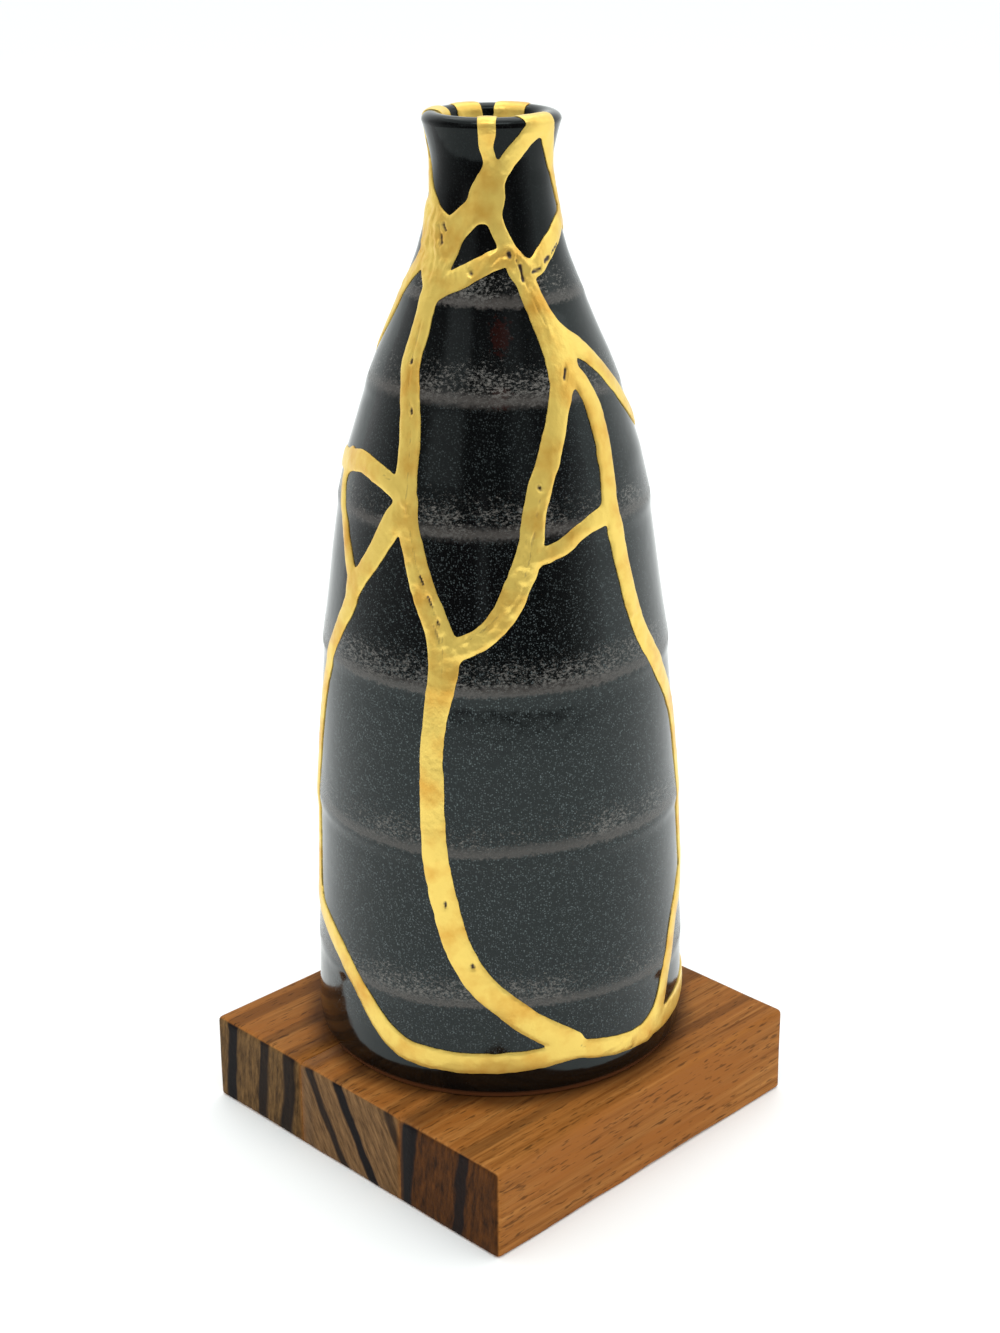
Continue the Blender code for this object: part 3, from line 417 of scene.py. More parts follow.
def seam_fields(angles, reaches, soften):
    """Over a grid: how far outside the gold, how far from the nearest seam, and its half width there."""
    shape = (len(reaches), len(angles))
    edge = np.full(shape, FAR)
    line = np.full(shape, FAR)
    half = np.full(shape, 2.0)
    for places in seam_lines():
        own = np.full(shape, FAR)
        for start, end in zip(places, places[1:]):
            middle = (start + end) / 2
            around = float(np.interp(middle[1], path_reach, path_radius))
            along = float(np.interp(middle[1], path_reach, path_stretch)) if middle[1] < RIM else 1.0
            window = max(start[2], end[2]) + SEAM_ROOM
            low = max(np.searchsorted(reaches, min(start[1], end[1]) - window), 0)
            high = np.searchsorted(reaches, max(start[1], end[1]) + window)
            turned = (angles - middle[0] + math.pi) % (2 * math.pi) - math.pi
            columns = np.nonzero(np.abs(turned) < (abs(end[0] - start[0]) / 2 + window / around))[0]
            if high <= low or not len(columns):
                continue
            x = turned[columns][None, :] * around
            y = (reaches[low:high, None] - middle[1]) * along
            step = np.array([(end[0] - start[0]) * around, (end[1] - start[1]) * along])
            share = np.clip((x * step[0] + y * step[1]) / (step @ step) + 0.5, 0, 1)
            away = np.hypot(x - (share - 0.5) * step[0], y - (share - 0.5) * step[1])
            width = start[2] + (end[2] - start[2]) * share
            block = np.ix_(range(low, high), columns)
            own[block] = np.minimum(own[block], away - width)
            nearer = away < line[block]
            line[block] = np.where(nearer, away, line[block])
            half[block] = np.where(nearer, width, half[block])
        mix = np.clip(0.5 + 0.5 * (own - edge) / soften, 0, 1)
        edge = own + (edge - own) * mix - soften * mix * (1 - mix)
    return edge, line, half


# A cut stays this share of a step away from a grid corner, so that no face is a sliver
CORNER_ROOM = 0.06


def cut_grid(field):
    """Rows, columns and faces of the part of a grid, closed round its columns, that is below zero."""
    inside = field < 0
    rows, columns = [part.astype(float) for part in np.nonzero(inside)]
    number = np.full(field.shape, -1)
    number[inside] = np.arange(len(rows))
    beside = np.roll(field, -1, axis=1)
    crossing = inside != (beside < 0)
    share = np.clip(field[crossing] / (field[crossing] - beside[crossing]), CORNER_ROOM, 1 - CORNER_ROOM)
    at_row, at_column = np.nonzero(crossing)
    sideways = np.full(field.shape, -1)
    sideways[crossing] = len(rows) + np.arange(len(at_row))
    rows = np.concatenate([rows, at_row])
    columns = np.concatenate([columns, at_column + share])
    crossing = inside[:-1] != inside[1:]
    here, over = field[:-1][crossing], field[1:][crossing]
    share = np.clip(here / (here - over), CORNER_ROOM, 1 - CORNER_ROOM)
    at_row, at_column = np.nonzero(crossing)
    upward = np.full(field.shape, -1)
    upward[:-1][crossing] = len(rows) + np.arange(len(at_row))
    rows = np.concatenate([rows, at_row + share])
    columns = np.concatenate([columns, at_column])
    after = np.roll(inside, -1, axis=1)
    count = inside[:-1].astype(int) + after[:-1] + after[1:] + inside[1:]
    next_number = np.roll(number, -1, axis=1)
    squares = (number[:-1], next_number[:-1], next_number[1:], number[1:])
    faces = np.stack([corner[count == 4] for corner in squares], 1).tolist()
    for i, j in zip(*np.nonzero((count > 0) & (count < 4))):
        k = (j + 1) % field.shape[1]
        corners = (number[i, j], number[i, k], number[i + 1, k], number[i + 1, j])
        cuts = (sideways[i, j], upward[i, k], sideways[i + 1, j], upward[i, j])
        if count[i, j] == 2 and (corners[0] >= 0) == (corners[2] >= 0):
            for place in (0, 2) if corners[0] >= 0 else (1, 3):
                faces.append([corners[place], cuts[place], cuts[place - 1]])
        else:
            faces.append([spot for pair in zip(corners, cuts) for spot in pair if spot >= 0])
    return rows, columns, faces


def open_edges(faces):
    """The edges that only one face has, in that face's direction."""
    edges = {}
    for face in faces:
        for a, b in zip(face, face[1:] + face[:1]):
            if not edges.pop((b, a), False):
                edges[(a, b)] = True
    return list(edges)


def grid_angle(columns, angles):
    return np.interp(columns, np.arange(len(angles) + 1), np.append(angles, angles[0] + 2 * math.pi))


# Two red-brown spots: height and half height, then how fast they fade into the wall and across it
RED_BROWN_SPOTS = ((159.4, 3.0), (148.2, 1.9))
RED_BROWN_HEADING = math.radians(-132.0)
RED_BROWN_OUT = 24.0
RED_BROWN_DEEP = 0.06
RED_BROWN_NARROW = 0.52
# The bands are placed along a ramp this long. Here and below, a pattern's scale is written
# as so many cells a millimetre
GLAZE_RANGE = 200.0


def tenmoku_glaze():
    """Black iron glaze on thrown clay: glossy with a soft ripple, its black broken by grey crystals."""
    material, tree, shader = new_material("tenmoku_glaze_on_thrown_stoneware")
    place = add(tree, "TexCoord").outputs["Object"]
    height = add(tree, "SeparateXYZ", {0: place}).outputs["Z"]
    # The bands wander a little up and down round the pot, with frayed edges
    sway_reach, fray_reach = 6.0 * MM, 2.2 * MM
    sway = add(tree, "TexNoise", {"Vector": place, "Scale": 0.016 / MM, "Detail": 1.0})
    fray = add(tree, "TexNoise", {"Vector": place, "Scale": 1.3 / MM, "Detail": 2.0})
    swayed = add(tree, "Math", {0: sway, 1: sway_reach, 2: height}, operation="MULTIPLY_ADD")
    frayed = add(tree, "Math", {0: fray, 1: fray_reach, 2: swayed}, operation="MULTIPLY_ADD")
    zero = VASE_FOOT + (sway_reach + fray_reach) / 2
    share = add(tree, "MapRange", {"Value": frayed, "From Min": zero,
                                   "From Max": zero + GLAZE_RANGE * MM})
    mottle_stops = [(0.0, 0.0)]
    line_stops = [(0.0, 0.0)]
    for level, _ in RIDGES:
        foot = level / GLAZE_RANGE
        mottle_stops += [(foot - 0.001, 0.0), (foot, 1.0), (foot + 0.028, 0.8), (foot + 0.058, 0.0)]
        line_stops += [(foot - 0.001, 0.0), (foot + 0.0005, 0.9), (foot + 0.007, 0.75), (foot + 0.013, 0.0)]
    mottle = add(tree, "ValToRGB", {"Fac": share}, stops=mottle_stops)
    line = add(tree, "ValToRGB", {"Fac": share}, stops=line_stops)
    patchy = add(tree, "TexNoise", {"Vector": place, "Scale": 0.055 / MM, "Detail": 3.0})
    patchy = add(tree, "MapRange", {"Value": patchy, "From Min": 0.40, "From Max": 0.58, "To Min": 0.6})
    mottle = add(tree, "Math", {0: mottle, 1: patchy}, operation="MULTIPLY")
    # Clumps of crystals crowd the bands
    lying = add(tree, "Mapping", {"Vector": place, "Scale": (1.0, 1.0, 1.7)})
    clumps = add(tree, "TexNoise", {"Vector": lying, "Scale": 1.1 / MM, "Detail": 4.0, "Roughness": 0.85})
    clump_level = add(tree, "Math", {0: mottle, 1: -0.24, 2: 0.68}, operation="MULTIPLY_ADD")
    clump = add(tree, "Math", {0: clumps, 1: clump_level}, operation="SUBTRACT")
    clump = add(tree, "MapRange", {"Value": clump, "From Max": 0.13})
    # Fine crystals lie all over but at the foot and the neck, and thin out from the middle up,
    # partly as painted shade on the shoulder, which mirrors the dark screen. The real ones are
    # finer: these are about a third of a millimetre apart, as small as the picture can show
    grains = add(tree, "TexVoronoi", {"Vector": place, "Scale": 3.1 / MM})
    pick = add(tree, "SeparateColor", {0: grains.outputs["Color"]})
    grain_size = add(tree, "MapRange", {"Value": pick.outputs[0], "From Min": 0.1, "To Max": 0.6})
    grain = add(tree, "Math", {0: grains.outputs["Distance"], 1: grain_size}, operation="LESS_THAN")
    # The thinning from the middle up is partly painted shade on the shoulder
    for bare, full in ((12.0, 18.0), (172.0, 85.0)):
        crystal_share_and_shade = add(tree, "MapRange", {"Value": frayed, "From Min": VASE_FOOT + bare * MM,
                                         "From Max": VASE_FOOT + full * MM, "To Min": 0.08})
        grain = add(tree, "Math", {0: grain, 1: crystal_share_and_shade}, operation="MULTIPLY")
    grain = add(tree, "Math", {0: grain, 1: pick.outputs[1]}, operation="MULTIPLY")
    deep = add(tree, "TexNoise", {"Vector": place, "Scale": 0.06 / MM, "Detail": 2.0})
    tone = add(tree, "Mix", {"Factor": deep, 6: paint("060404"), 7: paint("07090a")}, data_type="RGBA")
    # Two red-brown spots on the front of the shoulder
    for spot_height, half_tall in RED_BROWN_SPOTS:
        spot = Vector((VASE_AXIS[0] + math.cos(RED_BROWN_HEADING) * RED_BROWN_OUT * MM,
                       VASE_AXIS[1] + math.sin(RED_BROWN_HEADING) * RED_BROWN_OUT * MM, VASE_FOOT + spot_height * MM))
        nearby = add(tree, "Mapping", {"Vector": place, "Location": -spot})
        nearby = add(tree, "VectorRotate", {"Vector": nearby, "Angle": -FACING}, rotation_type="Z_AXIS")
        stretch = (RED_BROWN_DEEP / MM, RED_BROWN_NARROW / MM, 1 / (half_tall * MM))
        nearby = add(tree, "VectorMath", {0: nearby, 1: stretch}, operation="MULTIPLY")
        away = add(tree, "VectorMath", {0: nearby}, operation="LENGTH")
        away = add(tree, "Math", {0: fray, 1: 2.5, 2: away}, operation="MULTIPLY_ADD")
        red_brown = add(tree, "MapRange", {"Value": away, "From Min": 2.45, "From Max": 2.05, "To Max": 0.9})
        tone = add(tree, "Mix", {"Factor": red_brown, 6: tone, 7: paint("1e0805")}, data_type="RGBA")
    # The glaze drew back from the foot and left a thin brown edge
    bare = add(tree, "MapRange", {"Value": height, "From Min": VASE_FOOT + 1.5 * MM,
                                  "From Max": VASE_FOOT + 0.7 * MM})
    for share, color in ((grain, "4c5354"), (clump, "635f5b"), (line, "46413e"), (bare, "5a3520")):
        tone = add(tree, "Mix", {"Factor": share, 6: tone, 7: paint(color)}, data_type="RGBA")
    # Thinner glaze on the neck mirrors less
    mirror = add(tree, "MapRange", {"Value": height, "From Min": VASE_FOOT + 160.0 * MM,
                                    "From Max": VASE_FOOT + 178.0 * MM,
                                    "To Min": 0.46, "To Max": 0.24})
    rough = add(tree, "Math", {0: clump, 1: 0.18, 2: 0.11}, operation="MULTIPLY_ADD")
    rough = add(tree, "Math", {0: line, 1: 0.14, 2: rough}, operation="MULTIPLY_ADD")
    ripple = add(tree, "TexNoise", {"Vector": place, "Scale": 0.32 / MM, "Detail": 1.0})
    ripple = add(tree, "Bump", {"Height": ripple, "Strength": 0.12, "Distance": 0.3 * MM})
    raised = add(tree, "Bump", {"Height": clump, "Strength": 0.25, "Distance": 0.05 * MM,
                                "Normal": ripple})
    fill(shader, {"Base Color": tone, "Roughness": rough, "Specular IOR Level": mirror,
                  "Specular Tint": paint("d6e4e3"), "Normal": raised})
    return material


# Shards: name and a place well inside each, in degrees from the front and height
SHARDS = (("neck_left", -50, 190), ("neck_chip", 15, 197.5), ("neck_right", 45, 185),
          ("neck_triangle", -22, 176.5), ("nape_right", 110, 186), ("nape", 182, 182),
          ("nape_left", 238, 178), ("shoulder_left", -68, 150),
          ("shoulder_front", -8, 144), ("shoulder_right", 90, 158), ("shoulder_back", 190, 144),
          ("right_triangle", 35, 132), ("left_triangle", -54, 122), ("right_side", 110, 100),
          ("back_left", 245, 90), ("left_front", -50, 68), ("right_front", 30, 68), ("back_right", 130, 40),
          ("base", 0, 3))
CRACK_HALF_WIDTH = 0.8
GLAZE_COLUMNS = 240
GLAZE_ROWS = 332
LIP_ROWS = 6
SHARP_EDGE = math.radians(50)

angles = np.linspace(0, 2 * math.pi, GLAZE_COLUMNS, endpoint=False)
heights = np.linspace(0, RIM, GLAZE_ROWS)
_, from_crack, _ = seam_fields(angles, heights, 1.0)
field = CRACK_HALF_WIDTH - from_crack
field = np.vstack([field, np.repeat(field[-1:], LIP_ROWS, axis=0)])
top_row = len(field) - 1
rows, columns, faces = cut_grid(field)
around = grid_angle(columns, angles)
height = np.interp(rows, np.arange(len(heights)), heights)
lip_share = np.clip((rows - (len(heights) - 1)) / LIP_ROWS, 0, 1)
half_lip = (LIP_END - RIM) / 2
reach = np.where(lip_share > 0, RIM + half_lip * lip_share, height)
back = np.where(lip_share > 0, LIP_END - half_lip * lip_share, LIP_END + RIM - height)
outer = bottle_points(around, reach, 0.0)
inner = np.where((lip_share > 0)[:, None], bottle_points(around, back, 0.0), inside_points(around, height))

# Which shard each grid corner belongs to, spread out from the place inside it
inside = field < 0
label = np.full(field.shape, -1)
for mark, (_, degrees, level) in enumerate(SHARDS):
    column = round(degrees % 360 / 360 * GLAZE_COLUMNS) % GLAZE_COLUMNS
    spot = (int(np.abs(heights - level).argmin()), column)
    label[spot] = mark
    waiting = [spot]
    while waiting:
        i, j = waiting.pop()
        for near in ((i + 1, j), (i - 1, j), (i, (j + 1) % GLAZE_COLUMNS), (i, (j - 1) % GLAZE_COLUMNS)):
            if 0 <= near[0] <= top_row and inside[near] and label[near] < 0:
                label[near] = mark
                waiting.append(near)
corner_label = np.full(len(rows), -1)
corner_label[:inside.sum()] = label[inside]
owned = [[] for _ in SHARDS]
for face in faces:
    mark = max(corner_label[corner] for corner in face)
    if mark >= 0:
        owned[mark].append(face)

glaze = tenmoku_glaze()
for (name, _, _), own in zip(SHARDS, owned):
    used = sorted({corner for face in own for corner in face})
    number = {corner: place for place, corner in enumerate(used)}
    points = [outer[corner] for corner in used]
    under = {}
    for corner in used:
        if rows[corner] >= top_row - 1e-6:
            under[corner] = number[corner]
        else:
            under[corner] = len(points)
            points.append(inner[corner])
    solid = []
    for face in own:
        solid.append([number[corner] for corner in face])
        solid.append([under[corner] for corner in reversed(face)])
    # Only the lowest shard has the foot ring, the recess inside it and the floor
    foot = {}
    if name == "base":
        recess_middle, floor_middle = len(points), len(points) + 1
        points += [np.array([0.0, 0.0, FOOT_RECESS]), np.array([0.0, 0.0, FLOOR_LEVEL])]
        for corner in used:
            if rows[corner] < 1e-6:
                foot[corner] = (len(points), len(points) + 1)
                outward = np.array([math.cos(around[corner]), math.sin(around[corner]), 0.0])
                points.append(outward * (FOOT_RADIUS - FOOT_RING))
                points.append(outward * (FOOT_RADIUS - FOOT_RING - FOOT_RECESS) + (0.0, 0.0, FOOT_RECESS))
    for a, b in open_edges(own):
        if a in foot and b in foot:
            ring_a, ring_b = foot[a], foot[b]
            solid.append([number[b], number[a], ring_a[0], ring_b[0]])
            solid.append([ring_b[0], ring_a[0], ring_a[1], ring_b[1]])
            solid.append([ring_b[1], ring_a[1], recess_middle])
            solid.append([under[a], under[b], floor_middle])
            continue
        ring = [number[b], number[a], under[a], under[b]]
        ring = [corner for place, corner in enumerate(ring) if corner != ring[place - 1]]
        if len(ring) > 2:
            solid.append(ring)
    piece = new_piece("glazed_" + name, in_place(np.array(points)), solid, glaze)
    piece.data.set_sharp_from_angle(angle=SHARP_EDGE)
    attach(piece, "root")
    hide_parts("shard_" + name)


# Gold seams
# Lacquer dusted with gold powder, laid over every crack with a brush and folded over the
# lip. It stands proud with rounded, uneven edges and runs together where cracks meet.

# Where it was laid on thick and wrinkled as it dried: degrees, height and spread
RUGGED_PLACES = ((-50, 175, 8), (20, 171.5, 5), (8, 112, 9), (11, 118, 5), (16, 128, 6), (-12, 100, 6),
                 (-28, 115, 5), (-34, 126, 4), (50, 100, 5), (40, 7, 6), (175, 170, 8), (184, 60, 8))
RUGGED_NECK = 166.0
RUGGED_RISE = 3.6
# Where it sank, split or stands in folds: half width, rise, how dark it shows (the dark crack
# where it split, with painted shade in the sunk grooves and pits), and places along it in
# degrees and height
MARKS = (
    (0.3, -0.16, 0.45, (-44, 162), (-43.6, 153.6), (-40.5, 148), (-37, 143.5), (-35.2, 139.6), (-34, 134.7),
        (-33.2, 130), (-32.6, 126.3), (-30.2, 122), (-27.5, 116), (-25, 112.5), (-21.5, 108), (-19, 105.3),
        (-16.8, 101), (-17.2, 92)),
    (0.32, -0.4, 1.0, (-25.8, 113.6), (-24.1, 111.8)),
    (0.24, -0.4, 1.0, (-22.4, 109.6), (-20.9, 107.6)),
    (0.28, -0.4, 1.0, (-18.9, 105), (-18.5, 104.2)),
    (0.25, -0.25, 0.8, (-45.4, 131.6), (-34.5, 130)),
    (0.45, -0.4, 1.0, (-43.4, 153.8), (-43.2, 153.2)),
    (0.38, -0.4, 1.0, (-37.2, 144.8), (-36.8, 144.2)),
    (0.4, -0.4, 1.0, (34.6, 150.7), (36.3, 152.2)),
    (0.5, -0.5, 1.0, (17, 131.3), (17.2, 131)),
    (0.35, -0.4, 1.0, (-16.4, 44.9), (-16.3, 44)),
    (0.35, -0.4, 1.0, (-8.4, 31.4), (-8.1, 30.9)),
    (0.48, -0.5, 1.0, (19.8, 171.9), (20.9, 169.2)),
    (0.42, -0.5, 1.0, (29, 170.6), (35.4, 170.9)),
    (0.4, -0.45, 1.0, (41, 172.1), (45.7, 172.8)),
    (0.28, -0.4, 0.9, (50, 173.5), (60, 174.8)),
    (0.55, -0.5, 1.0, (12.6, 174.2), (13, 173.7)),
    (0.42, -0.3, 0.7, (17.2, 173.1), (18, 172.7)),
    (0.45, -0.4, 0.8, (-14.9, 170.7), (-14.4, 170.4)),
    (0.42, -0.4, 0.9, (-44.5, 177), (-42.6, 175.8)),
    (0.4, -0.35, 0.8, (-42.5, 179.3), (-39.5, 178.2)),
    (0.22, -0.25, 0.8, (24.5, 10.6), (44, 5.6)),
    (0.3, -0.25, 0.35, (0, 172.5), (4.5, 173.8), (9.5, 173.9)),
    (0.4, 0.2, 0.0, (-2, 173.6), (4, 175), (9.5, 175)),
    (0.5, 0.24, 0.0, (17, 130), (14.6, 126.4), (12.2, 120.7), (10.6, 114.8), (6.6, 109.5), (-2.5, 104.7),
        (-10, 101)),
    (0.35, -0.2, 0.3, (14, 128), (11, 121), (8.6, 115.5)),
    (0.3, -0.2, 0.3, (12.5, 117), (9.5, 111.5), (4, 106.5)),
    (0.35, -0.25, 0.55, (16.5, 129), (15, 125.5), (13.5, 121.5)),
    (0.3, -0.28, 0.6, (13.2, 121), (11.6, 117), (9.8, 113.6)),
    (0.4, 0.4, 0.0, (10.4, 119.4), (9.2, 116.6)),
    (0.28, -0.28, 0.6, (2, 107), (-3, 104), (-8, 101.8)),
    (0.45, 0.4, 0.0, (4.8, 108.8), (1, 106.4), (-2.5, 103)),
    (0.3, 0.25, 0.0, (-33.5, 131), (-31.5, 124.5), (-28.5, 118)),
    (0.35, -0.3, 0.6, (-20, 104), (-18, 100.5)),
    (0.3, -0.3, 0.5, (-47, 179), (-43.5, 174.5)),
    (0.35, -0.25, 0.25, (-52, 176), (-46, 170)),
    (0.28, -0.25, 0.45, (22, 169), (26.5, 164.5), (31, 160.6)),
    (0.22, -0.3, 0.5, (5.6, 109.2), (-2, 104.4)),
    (0.9, 0.3, 0.0, (-36, 129), (-33, 127)),
    (1.0, 0.25, 0.0, (-50, 176.5), (-46, 174)),
    (0.8, 0.25, 0.0, (-58, 180), (-52, 179)),
    (0.8, 0.25, 0.0, (21, 173.4), (23, 172.6)),
    (0.7, 0.22, 0.0, (14, 174.8), (16.5, 173.8)),
    (0.5, 0.15, 0.0, (24, 167.5), (30, 161.5), (33, 158)),
    (0.6, 0.15, 0.0, (-9.5, 101.5), (-18, 97)),
)
LONG_MARK = 4.0
# The gold's grid: degrees, closer together in front, and heights
GOLD_FRONT = np.arange(-105, 105, 0.62)
GOLD_BACK = np.arange(105, 255, 1.0)
GOLD_REACHES = np.arange(3.0, 232.0, 0.48)
# How thick it lies at the edge, on its rounded shoulder and on its crown
GOLD_EDGE = 0.14
GOLD_SHOULDER = 0.20
SHOULDER_WIDTH = 0.35
GOLD_CROWN = 0.06
GOLD_LIFT = 0.06
GOLD_THINNEST = 0.03
GOLD_ON_LIP = 0.6
GOLD_SUNK = 0.25
FILLING_HALF_WIDTH = 0.55
FILLING_SHORT = 0.1


def brushed_gold_lacquer():
    """Gold powder on lacquer, brushed: a warm, half metallic gleam, dark brown over the crack where it split
    and, as painted shade, in its sunk grooves and pits.
    """
    material, tree, shader = new_material("gold_lacquer_brushed_over_cracks")
    place = add(tree, "TexCoord").outputs["Object"]
    tone = add(tree, "TexNoise", {"Vector": place, "Scale": 0.16 / MM, "Detail": 4.0})
    tone = add(tree, "MapRange", {"Value": tone, "From Min": 0.28, "From Max": 0.55})
    color = add(tree, "Mix", {"Factor": tone, 6: paint("dba743"), 7: paint("edcc66")}, data_type="RGBA")
    # Dark brown and not metallic on the marks: the crack, with painted shade in the sunk grooves
    opened_and_crease_shade = add(tree, "Attribute", attribute_name="opened_and_crease_shade").outputs["Fac"]
    opened_and_crease_shade = add(tree, "MapRange", {"Value": opened_and_crease_shade, "From Min": 0.2, "From Max": 0.75})
    color = add(tree, "Mix", {"Factor": opened_and_crease_shade, 6: color, 7: paint("2a1606")}, data_type="RGBA")
    metal = add(tree, "MapRange", {"Value": opened_and_crease_shade, "To Min": 0.56, "To Max": 0.0})
    wear = add(tree, "TexNoise", {"Vector": place, "Scale": 0.4 / MM, "Detail": 2.0})
    rough = add(tree, "MapRange", {"Value": wear, "To Min": 0.25, "To Max": 0.45})
    brush = add(tree, "TexNoise", {"Vector": place, "Scale": 0.9 / MM, "Detail": 3.0})
    bump = add(tree, "Bump", {"Height": brush, "Strength": 0.5, "Distance": 0.18 * MM})
    fill(shader, {"Base Color": color, "Metallic": metal, "Roughness": rough, "Normal": bump})
    return material


# The lacquer's edge, made uneven
angles = np.radians(np.concatenate([GOLD_FRONT, GOLD_BACK]))
edge, line, half = seam_fields(angles, GOLD_REACHES, 0.8)
grid_reach, grid_angles = np.meshgrid(GOLD_REACHES, angles, indexing="ij")
spots = bottle_points(grid_angles.ravel(), grid_reach.ravel(), 0.0)
edge = edge + (0.16 * lumps(spots, 3.0) + 0.10 * lumps(spots, 1.2)).reshape(edge.shape)


def sampled(field, rows, columns):
    """Values of a grid field between its points, closed round the columns."""
    row = np.clip(rows.astype(int), 0, field.shape[0] - 2)
    column = columns.astype(int) % field.shape[1]
    beside = (column + 1) % field.shape[1]
    up, over = rows - row, columns - np.floor(columns)
    low = field[row, column] * (1 - over) + field[row, beside] * over
    high = field[row + 1, column] * (1 - over) + field[row + 1, beside] * over
    return low * (1 - up) + high * up


# Its thickness in millimetres: a rounded shoulder along the edge, a low crown and wrinkles
rows, columns, faces = cut_grid(edge)
around = grid_angle(columns, angles)
reach = np.interp(rows, np.arange(len(GOLD_REACHES)), GOLD_REACHES)
from_edge = np.maximum(-sampled(edge, rows, columns), 0.0)
base = bottle_points(around, reach, 0.0)
thick = GOLD_EDGE + GOLD_SHOULDER * (1 - np.exp(-from_edge / SHOULDER_WIDTH))
thick += GOLD_CROWN * np.clip(from_edge / sampled(half, rows, columns), 0, 1)
rugged = np.where(reach > RUGGED_NECK, 1.3, 0.8)
for degrees, level, spread in RUGGED_PLACES:
    spot = bottle_points(np.radians([degrees]), np.array([level]), 0.0)
    rugged = rugged + RUGGED_RISE * np.exp(-(np.linalg.norm(base - spot, axis=1) / spread) ** 2)
wrinkles = 0.06 * lumps(base, 4.5) + 0.05 * lumps(base, 1.7) + 0.05 * np.abs(lumps(base, 1.0))
thick += np.clip(from_edge / 0.8, 0, 1) * rugged * wrinkles
thick *= np.where(reach > RIM - 1.0, GOLD_ON_LIP, 1.0)
# Dark brown on the marks: the crack where the gold split, and painted shade in its sunk grooves and pits
opened_and_crease_shade = np.zeros(len(base))
broken = np.clip(0.6 + 0.9 * lumps(base, 1.3), 0.15, 1)
ragged = 1.0 + 0.5 * lumps(base, 0.9)
for half_width, rise, dark, *route in MARKS:
    route = np.array(route, float)
    route = bottle_points(np.radians(route[:, 0]), route[:, 1], 0.0)
    nearest = np.full(len(base), FAR)
    for start, end in zip(route, route[1:]):
        share = np.clip((base - start) @ (end - start) / ((end - start) @ (end - start)), 0, 1)
        nearest = np.minimum(nearest, np.linalg.norm(base - start - share[:, None] * (end - start), axis=1))
    strength = np.exp(-(nearest / (half_width * ragged)) ** 2)
    if np.linalg.norm(route[-1] - route[0]) > LONG_MARK:
        strength *= broken
    thick += rise * strength
    opened_and_crease_shade = np.maximum(opened_and_crease_shade, dark * strength)
thick = np.maximum(thick, GOLD_THINNEST)

# It fills the crack through the wall under the middle of each seam
top = bottle_points(around, reach, thick + GOLD_LIFT, 0.6)
through = (sampled(line, rows, columns) < FILLING_HALF_WIDTH) & (reach < RIM)
bottom = bottle_points(around, reach, np.where(through, FILLING_SHORT - WALL, -GOLD_SUNK))
count = len(top)
solid = list(faces)
solid.extend([corner + count for corner in reversed(face)] for face in faces)
solid.extend([b, a, a + count, b + count] for a, b in open_edges(faces))
net = new_piece("gold_lacquer_net", in_place(np.vstack([top, bottom])), solid, brushed_gold_lacquer())
net.data.set_sharp_from_angle(angle=SHARP_EDGE)
layer = net.data.attributes.new("opened_and_crease_shade", "FLOAT", "POINT")
layer.data.foreach_set("value", np.concatenate([opened_and_crease_shade, np.zeros(count)]).astype(np.float32))
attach(net, "root")
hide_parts("gold_seams")


# Wooden base
# Three strips of an oiled reddish hardwood, glued side by side, sanded and worn at the
# edges. Its growth bands show dark on the sawn ends and run on as faint streaks on top.

BASE_HEIGHT = 20.4
HALF_LENGTH = 46.0
HALF_WIDTH = 45.0
STRIP_JOINT = 15.85
GLUE = 0.05
# Growth bands lie in planes along the strips and are placed on a ramp that spans the base
BAND_REACH = 60.0
BAND_EDGE = 0.004
BAND_WARP = 3.0
# Oil and dust round the foot of the vase, with a painted contact shadow of the vase: from the
# first distance to the second
STAIN_AND_SHADOW_OUTER = 49.5
STAIN_AND_SHADOW_INNER = 45.5
STAIN_AND_SHADOW_WANDER = 8.0


